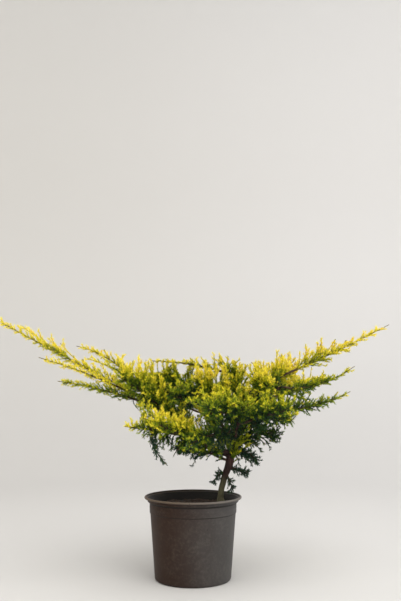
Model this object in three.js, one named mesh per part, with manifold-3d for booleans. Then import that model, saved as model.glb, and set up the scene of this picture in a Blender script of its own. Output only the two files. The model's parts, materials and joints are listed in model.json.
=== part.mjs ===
import * as THREE from "three";
import { mergeVertices } from "three/addons/utils/BufferGeometryUtils.js";
import Module from "manifold-3d";

// A spreading juniper with lime and gold foliage, in a flared nursery pot.
// Sizes are in millimetres and angles in degrees. +Z is up, +X is the plant's right and -Y its front.
// The origin is the middle of the pot's flat underside.

const wasm = await Module();
wasm.setup();

const GAP = 0.3; // between one piece and the piece that it meets
const SAME_POINT = 1e-4; // vertices nearer than this are one
const STEPS = { limb: 24, stem: 16, shoots: 48 }; // how finely a curve is sampled for each use
const DEGREE = Math.PI / 180;
const UP = new THREE.Vector3(0, 0, 1);

// The pot is a thin tapering shell with a flared lip, a shoulder band and a ring of drain holes.
const POT = {
  height: 140,
  lipRadius: 85,
  lipDrop: 4,
  lipRound: 1.2,
  neckRadius: 76,
  neckHeight: 129,
  bandRadius: 75.6,
  bandHeight: 113,
  bandStep: 0.9,
  baseRadius: 66,
  cornerRadius: 4,
  wall: 1.8,
  floor: 3,
  sides: 36,
  drainHoles: 6,
  drainRadius: 5,
  drainCircle: 48,
  drainSides: 8,
};

// The compost is filled to a low crown, flat over its middle share.
const SOIL = { top: 121, crown: 4, middle: 0.78, sides: 28 };

// The trunk starts off the middle of the pot, and each step has its own length and lean towards +X.
// The first step is upright, so that the foot is cut level, and the first radius is the root flare.
const TRUNK = {
  footX: 48.5,
  footY: 6,
  steps: [
    { length: 12, lean: 0 },
    { length: 14, lean: 7 },
    { length: 22, lean: 15 },
    { length: 24, lean: 20 },
    { length: 22, lean: 9 },
    { length: 30, lean: 14 },
    { length: 36, lean: 12 },
    { length: 32, lean: 20 },
  ],
  radii: [7.4, 5.3, 4.9, 5.5, 7.2, 7.0, 5.4, 4.4, 3.2],
  rings: 16,
  sides: 9,
};

// A bough leaves its parent at a share of the parent's length. Reach is level, climb is upright, and sag is
// how far its middle lies below the straight line between its ends.
const BOUGH = { rings: 4, sides: 6 };
const BOUGHS = table(
  ["name", "parent", "at", "azimuth", "reach", "climb", "sag", "root", "tip"],
  [
    ["bough_left", "trunk", 0.55, 178, 147, 102, 4, 4.4, 3.1],
    ["bough_centre_left", "trunk", 0.72, 168, 77, 83, 2, 3.2, 2.4],
    ["bough_top", "trunk", 0.93, 160, 18, 56, -2, 3.0, 2.4],
    ["bough_right", "trunk", 1, 356, 64, 37, 0, 3.0, 2.5],
    ["bough_right_middle", "trunk", 0.86, 349, 73, 50, 2, 3.0, 2.3],
    ["bough_right_low", "trunk", 0.75, 342, 80, 43, 3, 3.2, 2.3],
    ["bough_front_left", "trunk", 0.59, 224, 112, 38, 2, 3.6, 2.6],
    ["bough_front", "trunk", 0.67, 276, 68, 48, 3, 3.4, 2.5],
    ["bough_back_left", "trunk", 0.63, 126, 74, 59, 3, 3.5, 2.5],
    ["bough_back_right", "trunk", 0.79, 42, 78, 50, 3, 3.2, 2.4],
  ],
);

// Each mass of foliage has one stem, which leaves its limb as a bough does. Shoots is how many side shoots
// it has, shoot is the length of the longest, and lift is how strongly they turn up, or down below zero.
const MASSES = table(
  ["name", "limb", "at", "azimuth", "reach", "climb", "sag", "shoots", "shoot", "lift", "tone"],
  [
    ["foliage_left_leader", "bough_left", 1, 182, 286, 150, 1, 20, 36, 0.35, "gold"],
    ["foliage_left_upper", "bough_left", 0.8, 168, 168, 122, -22, 13, 42, 0.5, "gold"],
    ["foliage_left_lower", "bough_left", 0.88, 192, 176, 47, -6, 15, 34, 0.25, "lime"],
    ["foliage_left_crest", "bough_left", 0.68, 206, 99, 73, -6, 13, 60, 1.3, "gold"],
    ["foliage_left_back", "bough_left", 0.5, 143, 116, 94, -4, 12, 60, 1.2, "lime"],
    ["foliage_centre_left", "bough_centre_left", 1, 177, 66, 18, -3, 13, 56, 1.3, "lime"],
    ["foliage_centre_front", "bough_centre_left", 0.66, 230, 87, 20, -4, 13, 62, 1.3, "gold"],
    ["foliage_top", "trunk", 0.89, 194, 77, 51, 0, 12, 52, 1.2, "gold"],
    ["foliage_top_left", "bough_top", 1, 182, 144, 25, -6, 13, 38, 0.4, "gold"],
    ["foliage_front_left", "bough_front_left", 1, 184, 100, 15, 0, 13, 52, 0.9, "gold"],
    ["foliage_front_left_crest", "bough_front_left", 0.66, 229, 103, 34, 0, 12, 54, 1.3, "gold"],
    ["foliage_front_left_hanging", "bough_front_left", 0.88, 203, 30, -29, -6, 5, 24, -0.3, "deep"],
    ["foliage_front", "bough_front", 1, 247, 131, 20, -2, 13, 58, 1.1, "gold"],
    ["foliage_front_right", "bough_front", 0.8, 306, 120, 27, -2, 13, 56, 1.1, "lime"],
    ["foliage_front_low", "bough_front", 0.6, 234, 132, -15, -6, 12, 42, 0.1, "deep"],
    ["foliage_back_left", "bough_back_left", 1, 146, 177, 57, 0, 13, 56, 1.0, "lime"],
    ["foliage_back_middle", "bough_back_left", 0.7, 94, 170, 82, 0, 13, 58, 1.0, "lime"],
    ["foliage_back_right", "bough_back_right", 1, 34, 143, 31, 0, 12, 54, 1.0, "lime"],
    ["foliage_back_far", "bough_back_right", 0.7, 82, 165, 45, 0, 13, 58, 1.0, "lime"],
    ["foliage_right_leader", "bough_right", 1, 1, 196, 92, 2, 16, 44, 0.8, "gold"],
    ["foliage_right_crest", "bough_right", 0.6, 43, 70, 18, -2, 11, 48, 1.3, "gold"],
    ["foliage_right_front", "bough_right", 0.36, 276, 77, 4, -2, 12, 56, 1.3, "gold"],
    ["foliage_right_middle", "bough_right_middle", 1, 354, 131, 37, 13, 14, 42, 0.6, "lime"],
    ["foliage_right_lower", "bough_right_low", 1, 355, 122, 31, 8, 14, 42, 0.5, "lime"],
    ["foliage_right_low_front", "bough_right_low", 0.7, 308, 68, 0, 0, 11, 44, 0.4, "lime"],
    ["foliage_low_right", "trunk", 0.65, 9, 82, 20, -10, 13, 44, 0.1, "deep"],
    ["foliage_low_right_hanging", "trunk", 0.6, 339, 47, -9, -8, 8, 26, -0.3, "deep"],
    ["foliage_low_left", "trunk", 0.49, 197, 90, 27, -10, 12, 38, -0.1, "deep"],
    ["sprig_left", "trunk", 0.4, 185, 21, -12, -5, 4, 12, 0, "deep"],
    ["sprig_right", "trunk", 0.44, 354, 33, -5, -2, 5, 13, -0.2, "deep"],
    ["sprig_low", "trunk", 0.39, 342, 13, -23, -2, 3, 10, -0.2, "deep"],
    ["foliage_left_side", "bough_left", 0.94, 193, 201, 81, -6, 13, 28, 0.3, "gold"],
  ],
);

// The stem of a mass ends inside the spray at its tip, which is sunk into it by sink. Slivers that joining
// the sprays leaves are merged where that moves no face by more than finest.
const STEM = { root: 2.4, tip: 1.5, rings: 5, sides: 3, tipSpray: 20, sink: 1, finest: 0.12 };

// Side shoots spiral up their stem. They leave it by spread, and those that point away from the lift are
// shorter. One that has no room is tried again at each smaller share of its length, and then skipped.
const SHOOT = {
  bareShare: 0.1,
  spread: 46,
  turn: 137.5,
  wander: 40,
  underside: 0.6,
  vary: 0.2,
  tries: [1, 0.7, 0.5],
};

// Side shoots are longest over the first third of a stem, and shorten to the tip's share of that length.
const PROFILE = { root: 0.55, rise: 2.2, tip: 0.2, fade: 0.8 };

// A long shoot forks: a second spray leaves it at a share of its length.
const FORK = { from: 34, at: 0.26, angle: 50, length: 0.66 };

// A spray is as wide as its length over slender, up to its largest radius. Samples give its radius along its
// length, and apart is how near two sprays of one mass may come, as a share of their radii.
const SPRAY = {
  radius: 12,
  slender: 4.8,
  shortest: 10,
  sides: 3,
  apart: 0.5,
  samples: [
    [0.25, 0.6],
    [0.5, 1],
    [0.75, 0.8],
    [1, 0.1],
  ],
};

const COLOURS = {
  pot: { color: 0x554f49, roughness: 0.55 },
  soil: { color: 0x2b2019, roughness: 0.95 },
  bark: { color: 0x53352a, roughness: 0.85 },
  gold: { color: 0xb9b02a, roughness: 0.6 },
  lime: { color: 0x84a12b, roughness: 0.6 },
  deep: { color: 0x3c5a2c, roughness: 0.6 },
};

function table(columns, rows) {
  return rows.map((row) => Object.fromEntries(columns.map((column, i) => [column, row[i]])));
}

// Random numbers from 0 to 1 that are the same on each run.
function seeded(seed) {
  let state = seed >>> 0;
  return () => {
    state = (Math.imul(state, 1664525) + 1013904223) >>> 0;
    return state / 2 ** 32;
  };
}

function closed(geometry) {
  geometry.deleteAttribute("normal");
  geometry.deleteAttribute("uv");
  return mergeVertices(geometry, SAME_POINT);
}

function solid(geometry) {
  const whole = closed(geometry);
  return new wasm.Manifold(
    new wasm.Mesh({
      numProp: 3,
      vertProperties: whole.getAttribute("position").array,
      triVerts: new Uint32Array(whole.index.array),
    }),
  );
}

function geometryOf(manifold) {
  const mesh = manifold.getMesh();
  return new THREE.BufferGeometry()
    .setAttribute("position", new THREE.BufferAttribute(mesh.vertProperties, 3))
    .setIndex(new THREE.BufferAttribute(mesh.triVerts, 1));
}

// The largest of a solid's separate bodies: cuts can leave small scraps beside it.
function largest(manifold) {
  return manifold.decompose().sort((a, b) => b.volume() - a.volume())[0];
}

// Points, tangents and two crosswise directions along a curve, turned as little as possible between rings.
function ringsAlong(curve, count, end = 1) {
  const rings = [];
  let across = new THREE.Vector3(0, 1, 0);
  for (let i = 0; i <= count; i++) {
    const share = (i / count) * end;
    const tangent = curve.getTangent(share);
    if (Math.abs(across.dot(tangent)) > 0.95) across.set(1, 0, 0);
    across = across.clone().addScaledVector(tangent, -across.dot(tangent)).normalize();
    rings.push({ share, point: curve.getPoint(share), tangent, across, over: across.clone().cross(tangent) });
  }
  return rings;
}

// A closed tapering limb: a cylinder whose rings are laid along the curve, grown on all sides where asked.
function limbGeometry(curve, { rings: count, sides }, radiusAt, { end = 1, grow = 0 } = {}) {
  const rings = ringsAlong(curve, count, end);
  rings[0].point.addScaledVector(rings[0].tangent, -grow);
  rings[count].point.addScaledVector(rings[count].tangent, grow);
  const geometry = new THREE.CylinderGeometry(1, 1, 1, sides, count);
  const position = geometry.getAttribute("position");
  const vertex = new THREE.Vector3();
  for (let i = 0; i < position.count; i++) {
    vertex.fromBufferAttribute(position, i);
    const ring = rings[Math.round((vertex.y + 0.5) * count)];
    const radius = radiusAt(ring.share) + grow;
    const placed = ring.point
      .clone()
      .addScaledVector(ring.across, vertex.x * radius)
      .addScaledVector(ring.over, vertex.z * radius);
    position.setXYZ(i, placed.x, placed.y, placed.z);
  }
  return geometry;
}

function bowedCurve(start, { azimuth, reach, climb, sag }) {
  const end = start
    .clone()
    .add(new THREE.Vector3(Math.cos(azimuth * DEGREE) * reach, Math.sin(azimuth * DEGREE) * reach, climb));
  const middle = start.clone().lerp(end, 0.5);
  middle.z -= 2 * sag;
  return new THREE.QuadraticBezierCurve3(start, middle, end);
}

function trunkCurve() {
  const point = new THREE.Vector3(TRUNK.footX, TRUNK.footY, SOIL.top + SOIL.crown + GAP);
  const points = [point.clone()];
  for (const { length, lean } of TRUNK.steps) {
    point.x += length * Math.sin(lean * DEGREE);
    point.z += length * Math.cos(lean * DEGREE);
    points.push(point.clone());
  }
  return new THREE.CatmullRomCurve3(points, false, "catmullrom", 0.5);
}

function trunkRadius(share) {
  const place = share * TRUNK.steps.length;
  const before = Math.min(Math.floor(place), TRUNK.steps.length - 1);
  return THREE.MathUtils.lerp(TRUNK.radii[before], TRUNK.radii[before + 1], place - before);
}

// A limb knows its curve, its radii and itself grown by a little over the gap, which cuts what meets it.
function makeLimb(name, curve, mesh, radiusAt) {
  return {
    name,
    curve,
    body: solid(limbGeometry(curve, mesh, radiusAt)),
    grown: solid(limbGeometry(curve, mesh, radiusAt, { grow: GAP * 1.2 })),
    samples: ringsAlong(curve, STEPS.limb).map(({ share, point }) => ({ point, radius: radiusAt(share) })),
  };
}

function makeLimbs() {
  const limbs = { trunk: makeLimb("trunk", trunkCurve(), TRUNK, trunkRadius) };
  for (const row of BOUGHS) {
    const parent = limbs[row.parent];
    const taper = (share) => THREE.MathUtils.lerp(row.root, row.tip, share);
    const bough = makeLimb(row.name, bowedCurve(parent.curve.getPoint(row.at), row), BOUGH, taper);
    bough.body = largest(bough.body.subtract(parent.grown));
    limbs[row.name] = bough;
  }
  return limbs;
}

// One spray of needles: a slim core whose needles stand out in two whorls of three, turned from each other.
function sprayTemplate() {
  const profile = [
    { radius: 0, height: 0, turn: 0 },
    { radius: 1, height: 0.44, turn: 0 },
    { radius: 0.34, height: 0.34, turn: 0 },
    { radius: 0.75, height: 0.76, turn: 60 },
    { radius: 0, height: 1, turn: 0 },
  ];
  const outline = profile.map(({ radius, height }) => new THREE.Vector2(radius, height));
  const geometry = new THREE.LatheGeometry(outline, SPRAY.sides);
  const position = geometry.getAttribute("position");
  const axis = new THREE.Vector3(0, 1, 0);
  for (let i = 0; i < position.count; i++) {
    const vertex = new THREE.Vector3().fromBufferAttribute(position, i);
    vertex.applyAxisAngle(axis, profile[i % profile.length].turn * DEGREE);
    position.setXYZ(i, vertex.x, vertex.y, vertex.z);
  }
  return closed(geometry);
}

function sprayRadius(length) {
  return Math.min(SPRAY.radius, length / SPRAY.slender + 1);
}

function spraySolid(template, { start, direction, length }) {
  const radius = sprayRadius(length);
  const turn = new THREE.Quaternion().setFromUnitVectors(new THREE.Vector3(0, 1, 0), direction);
  const place = new THREE.Matrix4().compose(start, turn, new THREE.Vector3(radius, length, radius));
  return solid(template.clone().applyMatrix4(place));
}

function shootProfile(share) {
  const { root, rise, tip, fade } = PROFILE;
  return Math.min(1, root + rise * share) * (tip + (1 - tip) * (1 - share) ** fade);
}

// The rule that every mass grows by: shoots spiral up the stem, lean forward, and turn towards the light.
function shootsOf(mass, curve, random) {
  const frames = ringsAlong(curve, STEPS.shoots);
  return Array.from({ length: mass.shoots }, (_, i) => {
    const share = SHOOT.bareShare + (1 - SHOOT.bareShare) * ((i + 0.5) / mass.shoots);
    const { point, tangent, across } = frames[Math.round(share * STEPS.shoots)];
    const roll = (i * SHOOT.turn + SHOOT.wander * (random() - 0.5)) * DEGREE;
    const radial = across.clone().applyAxisAngle(tangent, roll);
    const direction = tangent
      .clone()
      .multiplyScalar(Math.cos(SHOOT.spread * DEGREE))
      .addScaledVector(radial, Math.sin(SHOOT.spread * DEGREE))
      .addScaledVector(UP, mass.lift)
      .normalize();
    const shorten = radial.z * Math.sign(mass.lift || 1) < 0 ? SHOOT.underside : 1;
    const varied = 1 - SHOOT.vary + 2 * SHOOT.vary * random();
    const length = mass.shoot * shootProfile(share) * varied * shorten;
    return { start: point, direction, length: Math.max(length, SPRAY.shortest), stem: tangent };
  });
}

// The sprays of one shoot: the shoot itself, and one more on alternate sides where it is long.
function spraysOf(shoot, i) {
  if (shoot.length < FORK.from) return [shoot];
  const { start, direction, length, stem } = shoot;
  const side = direction.clone().cross(stem).cross(direction).normalize().multiplyScalar(i % 2 ? 1 : -1);
  const forked = direction
    .clone()
    .multiplyScalar(Math.cos(FORK.angle * DEGREE))
    .addScaledVector(side, Math.sin(FORK.angle * DEGREE));
  const root = start.clone().addScaledVector(direction, length * FORK.at);
  return [shoot, { start: root, direction: forked.normalize(), length: length * FORK.length }];
}

function nearestOn(stem, point) {
  const distances = stem.samples.map((sample) => sample.distanceTo(point));
  const distance = Math.min(...distances);
  return { distance, sample: stem.samples[distances.indexOf(distance)] };
}

// Points along a spray's core, each with the spray's radius there.
function samplesOf({ start, direction, length }) {
  const widest = sprayRadius(length);
  return SPRAY.samples.map(([share, width]) => ({
    point: start.clone().addScaledVector(direction, length * share),
    radius: widest * width,
  }));
}

// True where a spray stays on its own side of the plane midway to any other stem, and off the limbs.
function keepsToItsSpace(samples, stem, stems, limbs) {
  return samples.every(({ point, radius }) => {
    const own = nearestOn(stem, point);
    const crosses = stems.some((other) => {
      if (other === stem) return false;
      const far = nearestOn(other, point);
      const apart = own.sample.distanceTo(far.sample);
      return (far.distance ** 2 - own.distance ** 2) / (2 * apart) < radius + GAP;
    });
    const touches = limbs.some((limb) =>
      limb.samples.some((sample) => sample.point.distanceTo(point) < sample.radius + radius + GAP),
    );
    return !crosses && !touches;
  });
}

// True where the outer part of a spray would run into one that its mass already has.
function crowds(samples, grown) {
  return samples.slice(1).some(({ point, radius }) =>
    grown.some((other) =>
      other.some((sample) => sample.point.distanceTo(point) < (sample.radius + radius) * SPRAY.apart),
    ),
  );
}

// The spray that carries a stem on to its tip.
function tipSpray(curve, share) {
  const end = curve.getPoint(1);
  const direction = end.clone().sub(curve.getPoint(share)).normalize();
  const start = curve.getPoint(share).addScaledVector(direction, -STEM.sink);
  return { start, direction, length: start.distanceTo(end) };
}

function growMass(mass, stem, stems, limbs, template, seed) {
  const random = seeded(seed);
  const limbList = Object.values(limbs);
  const tipShare = 1 - STEM.tipSpray / stem.curve.getLength();
  const taper = (share) => THREE.MathUtils.lerp(STEM.root, STEM.tip, share);
  const body = solid(limbGeometry(stem.curve, STEM, taper, { end: tipShare }));
  const last = tipSpray(stem.curve, tipShare);
  const pieces = [body, spraySolid(template, last)];
  const grown = [samplesOf(last)];
  const fits = (samples) => keepsToItsSpace(samples, stem, stems, limbList) && !crowds(samples, grown);
  shootsOf(mass, stem.curve, random).forEach((shoot, i) => {
    const lengths = SHOOT.tries.map((share) => share * shoot.length);
    const length = lengths.find((tried) => fits(samplesOf({ ...shoot, length: tried })));
    if (!length) return;
    for (const spray of spraysOf({ ...shoot, length }, i)) {
      const samples = samplesOf(spray);
      if (!fits(samples)) break;
      grown.push(samples);
      pieces.push(spraySolid(template, spray));
    }
  });
  const whole = largest(wasm.Manifold.union(pieces).subtract(limbs[mass.limb].grown));
  return whole.asOriginal().simplify(STEM.finest);
}

// The pot's half outline, from the middle of the underside, up the outside, over the lip and down the inside.
function potOutline() {
  const { baseRadius, cornerRadius, bandRadius, bandStep, bandHeight, wall } = POT;
  const cornerInset = cornerRadius * (1 - Math.SQRT1_2);
  const points = [
    [0, 0],
    [baseRadius - cornerRadius, 0],
    [baseRadius - cornerInset, cornerInset],
    [baseRadius, cornerRadius],
    [bandRadius - bandStep, bandHeight - bandStep],
    [bandRadius, bandHeight],
    [POT.neckRadius, POT.neckHeight],
    [POT.lipRadius - POT.lipRound, POT.height - POT.lipDrop],
    [POT.lipRadius, POT.height - POT.lipDrop + POT.lipRound],
    [POT.lipRadius - POT.lipRound, POT.height],
    [POT.neckRadius - wall, POT.neckHeight],
    [bandRadius - bandStep - wall, bandHeight - bandStep],
    [baseRadius - wall, POT.floor + cornerRadius],
    [baseRadius - wall - cornerRadius, POT.floor],
    [0, POT.floor],
  ];
  return points.map(([radius, height]) => new THREE.Vector2(radius, height));
}

function potSolid() {
  let pot = solid(new THREE.LatheGeometry(potOutline(), POT.sides).rotateX(90 * DEGREE));
  const through = POT.floor * 4;
  for (let i = 0; i < POT.drainHoles; i++) {
    const angle = ((i + 0.5) / POT.drainHoles) * 2 * Math.PI;
    const hole = new THREE.CylinderGeometry(POT.drainRadius, POT.drainRadius, through, POT.drainSides);
    hole.rotateX(90 * DEGREE);
    hole.translate(POT.drainCircle * Math.cos(angle), POT.drainCircle * Math.sin(angle), 0);
    pot = pot.subtract(solid(hole));
  }
  return pot;
}

// The compost fills the pot, a gap clear of the floor and two gaps clear of the wall.
function soilSolid() {
  const bottom = POT.floor + POT.cornerRadius;
  const inner = POT.bandRadius - POT.bandStep - POT.wall;
  const slope = (inner - (POT.baseRadius - POT.wall)) / (POT.bandHeight - POT.bandStep - bottom);
  const radiusAt = (height) => POT.baseRadius - POT.wall - 2 * GAP + slope * (height - bottom);
  const outline = [
    [0, POT.floor + GAP],
    [radiusAt(bottom) - POT.cornerRadius, POT.floor + GAP],
    [radiusAt(bottom), bottom],
    [radiusAt(POT.bandHeight), POT.bandHeight],
    [radiusAt(POT.bandHeight), SOIL.top],
    [inner * SOIL.middle, SOIL.top + SOIL.crown],
    [0, SOIL.top + SOIL.crown],
  ].map(([radius, height]) => new THREE.Vector2(radius, height));
  return solid(new THREE.LatheGeometry(outline, SOIL.sides).rotateX(90 * DEGREE));
}

function addNode(group, name, manifold, colour) {
  const material = new THREE.MeshStandardMaterial({ ...COLOURS[colour], metalness: 0 });
  const mesh = new THREE.Mesh(geometryOf(manifold), material);
  mesh.name = name;
  group.add(mesh);
}

const juniper = new THREE.Group();
addNode(juniper, "pot", potSolid(), "pot");
addNode(juniper, "soil", soilSolid(), "soil");

const limbs = makeLimbs();
for (const limb of Object.values(limbs)) addNode(juniper, limb.name, limb.body, "bark");

const stems = MASSES.map((mass) => {
  const curve = bowedCurve(limbs[mass.limb].curve.getPoint(mass.at), mass);
  return { curve, samples: curve.getPoints(STEPS.stem) };
});
const template = sprayTemplate();
MASSES.forEach((mass, i) => {
  addNode(juniper, mass.name, growMass(mass, stems[i], stems, limbs, template, 101 + i), mass.tone);
});

export default juniper;
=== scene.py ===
# %% [markdown]
# This lesson dresses a young spreading juniper that stands in a nursery pot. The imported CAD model
# says where every limb and every mass of foliage is. It has few faces, so this script grows the
# fine wood and the needles again by the same rule, models the pot and the compost, and gives
# every surface its finish. The frame comes first, because everything is placed by it.

# %% Load the frame
import json
import math

import bmesh
import bpy
import numpy as np
from mathutils import Matrix, Vector, noise

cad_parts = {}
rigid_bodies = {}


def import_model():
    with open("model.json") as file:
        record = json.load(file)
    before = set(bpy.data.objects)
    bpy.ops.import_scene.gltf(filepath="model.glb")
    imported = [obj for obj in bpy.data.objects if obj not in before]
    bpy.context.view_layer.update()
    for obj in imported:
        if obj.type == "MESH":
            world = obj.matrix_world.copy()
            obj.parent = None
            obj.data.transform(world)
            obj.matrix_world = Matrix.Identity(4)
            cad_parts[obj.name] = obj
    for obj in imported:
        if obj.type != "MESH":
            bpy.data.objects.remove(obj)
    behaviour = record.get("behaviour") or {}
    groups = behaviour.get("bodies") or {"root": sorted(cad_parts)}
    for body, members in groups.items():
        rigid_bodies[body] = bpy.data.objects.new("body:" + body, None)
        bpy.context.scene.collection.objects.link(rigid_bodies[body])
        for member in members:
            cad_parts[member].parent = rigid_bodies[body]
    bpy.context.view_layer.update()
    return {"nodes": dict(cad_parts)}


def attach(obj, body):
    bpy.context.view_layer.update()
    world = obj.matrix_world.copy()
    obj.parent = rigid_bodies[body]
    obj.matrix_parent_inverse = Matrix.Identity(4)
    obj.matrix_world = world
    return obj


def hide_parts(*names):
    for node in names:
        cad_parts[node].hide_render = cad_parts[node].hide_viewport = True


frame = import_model()
print("CAD nodes:", len(frame["nodes"]))

# %% [markdown]
# The plant's sizes are in millimetres, as in its source, and Blender works in metres. Every mesh
# is therefore worked out in millimetres and scaled once, when it is made an object. Each object
# stays at the origin with its place in its mesh, and rides on the one body that the plant has.

# %% Objects from meshes
MM = 0.001


def add_piece(name, mesh, finish, slot, nodes):
    """Links a mesh in millimetres as a piece of the plant that stands for some CAD nodes."""
    mesh.transform(Matrix.Scale(MM, 4))
    mesh.materials.append(finish)
    piece = bpy.data.objects.new(name, mesh)
    bpy.context.scene.collection.objects.link(piece)
    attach(piece, "root")
    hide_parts(*nodes)
    return piece


def mesh_of(work, name):
    """Turns a bmesh into a mesh and frees it."""
    mesh = bpy.data.meshes.new(name)
    work.to_mesh(mesh)
    work.free()
    return mesh


# %% [markdown]
# The camera stands where the photo was taken: 1.3 m in front of the pot, at about the height of
# the crown, looking up by a few degrees. Its focal length was measured in the photo's pixels, so
# the lens follows from the sensor's width, which Blender lays along the picture's longer side.

# %% Camera
PHOTO_HEIGHT = 601
PHOTO_FOCAL = 723
SENSOR = 36
CAMERA_PLACE = (13, -1300, 318)
CAMERA_PITCH = 7.3

camera = bpy.data.objects.new("camera", bpy.data.cameras.new("camera"))
camera.data.sensor_width = SENSOR
camera.data.lens = SENSOR * PHOTO_FOCAL / PHOTO_HEIGHT
camera.location = Vector(CAMERA_PLACE) * MM
camera.rotation_euler = (math.radians(90 + CAMERA_PITCH), 0, 0)
bpy.context.scene.collection.objects.link(camera)
bpy.context.scene.camera = camera
print(f"lens: {camera.data.lens:.1f} mm")

# %% [markdown]
# Finishes are built from shader nodes. Written out node by node they are hard to read, so a small
# class wraps a node's output and lets Python's own operators add the Math nodes. A second class
# holds one material and has one method that adds any other node.

# %% Shader maths
class Reading:
    """A node's output that Python arithmetic works on."""

    def __init__(self, finish, output):
        self.finish = finish
        self.output = output

    def __add__(self, other):
        return self.finish.maths("ADD", self, other)

    def __sub__(self, other):
        return self.finish.maths("SUBTRACT", self, other)

    def __rsub__(self, other):
        return self.finish.maths("SUBTRACT", other, self)

    def __mul__(self, other):
        return self.finish.maths("MULTIPLY", self, other)

    __radd__ = __add__
    __rmul__ = __mul__


class Finish:
    """A material, with its Principled shader ready to be fed."""

    def __init__(self, name, **sockets):
        self.material = bpy.data.materials.new(name)
        self.material.use_nodes = True
        self.tree = self.material.node_tree
        self.shader = self.tree.nodes["Principled BSDF"]
        self.feed(**sockets)

    def put(self, socket, value):
        if isinstance(value, Reading):
            self.tree.links.new(value.output, socket)
        else:
            socket.default_value = value

    def feed(self, **sockets):
        """Sets the shader's own sockets, with _ for a space in a name."""
        for name, value in sockets.items():
            self.put(self.shader.inputs[name.replace("_", " ")], value)

    def node(self, kind, settings=None, inputs=None, output=0):
        """Adds a node: its settings first, then its inputs by name or place."""
        made = self.tree.nodes.new("ShaderNode" + kind)
        for name, value in (settings or {}).items():
            setattr(made, name, value)
        for key, value in (inputs or {}).items():
            self.put(made.inputs[key], value)
        return Reading(self, made.outputs[output])

    def place(self):
        """The place in the object's own metres."""
        return self.node("TexCoord", output=3)

    def axis(self, place, number):
        """How far along x, y or z a place is."""
        return self.node("SeparateXYZ", None, {0: place}, output=number)

    def maths(self, operation, first, second=0.0):
        return self.node("Math", {"operation": operation}, {0: first, 1: second})

    def mix(self, share, first, second):
        """A colour between two others."""
        return self.node("Mix", {"data_type": "RGBA"}, {0: share, 6: first, 7: second}, output=2)

    def between(self, value, low, high):
        """0 where a value is under low, 1 where it is over high, and smooth between them."""
        settings = {"interpolation_type": "SMOOTHSTEP"}
        return self.node("MapRange", settings, {"Value": value, "From Min": low, "From Max": high})

    def noise(self, place, size, detail=2.0, rough=0.5):
        """Smooth noise whose features are about one size across, in millimetres."""
        inputs = {"Vector": place, "Scale": 1 / (size * MM), "Detail": detail, "Roughness": rough}
        return self.node("TexNoise", None, inputs)

    def stretched(self, place, scale):
        return self.node("Mapping", None, {"Vector": place, "Scale": scale})

    def bump(self, height, depth):
        """A relief of some depth in millimetres, fed to the shader."""
        inputs = {"Height": height, "Distance": depth * MM, "Strength": 1.0}
        self.feed(Normal=self.node("Bump", None, inputs))


def colour(red, green, blue):
    """A colour as a picture shows it, from 0 to 255, made linear for the shader."""
    shares = [value / 255 for value in (red, green, blue)]
    linear = [s / 12.92 if s <= 0.04045 else ((s + 0.055) / 1.055) ** 2.4 for s in shares]
    return (*linear, 1.0)


# %% [markdown]
# The limbs come next, because all foliage grows from them. The plant's source gives each bough
# by the place where it leaves its parent, its direction, its reach and climb, and how far its
# middle sags. The same table is repeated here, and the same two kinds of curve are drawn from it:
# a smooth line through the trunk's steps, and a bow with three control points for the rest.

# %% Tables of limbs and masses
def table(columns, rows):
    """Rows with named columns. The names are given as one line of words."""
    return [dict(zip(columns.split(), row)) for row in rows]


SOIL_TOP = 125
GAP = 0.3
TRUNK = {
    "foot": (48.5, 6),
    "steps": [(12, 0), (14, 7), (22, 15), (24, 20), (22, 9), (30, 14), (36, 12), (32, 20)],
    "radii": [7.4, 5.3, 4.9, 5.5, 7.2, 7.0, 5.4, 4.4, 3.2],
}
BOUGHS = table("name parent at azimuth reach climb sag root tip", [
    ["bough_left", "trunk", 0.55, 178, 147, 102, 4, 4.4, 3.1],
    ["bough_centre_left", "trunk", 0.72, 168, 77, 83, 2, 3.2, 2.4],
    ["bough_top", "trunk", 0.93, 160, 18, 56, -2, 3.0, 2.4],
    ["bough_right", "trunk", 1, 356, 64, 37, 0, 3.0, 2.5],
    ["bough_right_middle", "trunk", 0.86, 349, 73, 50, 2, 3.0, 2.3],
    ["bough_right_low", "trunk", 0.75, 342, 80, 43, 3, 3.2, 2.3],
    ["bough_front_left", "trunk", 0.59, 224, 112, 38, 2, 3.6, 2.6],
    ["bough_front", "trunk", 0.67, 276, 68, 48, 3, 3.4, 2.5],
    ["bough_back_left", "trunk", 0.63, 126, 74, 59, 3, 3.5, 2.5],
    ["bough_back_right", "trunk", 0.79, 42, 78, 50, 3, 3.2, 2.4],
])
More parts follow.
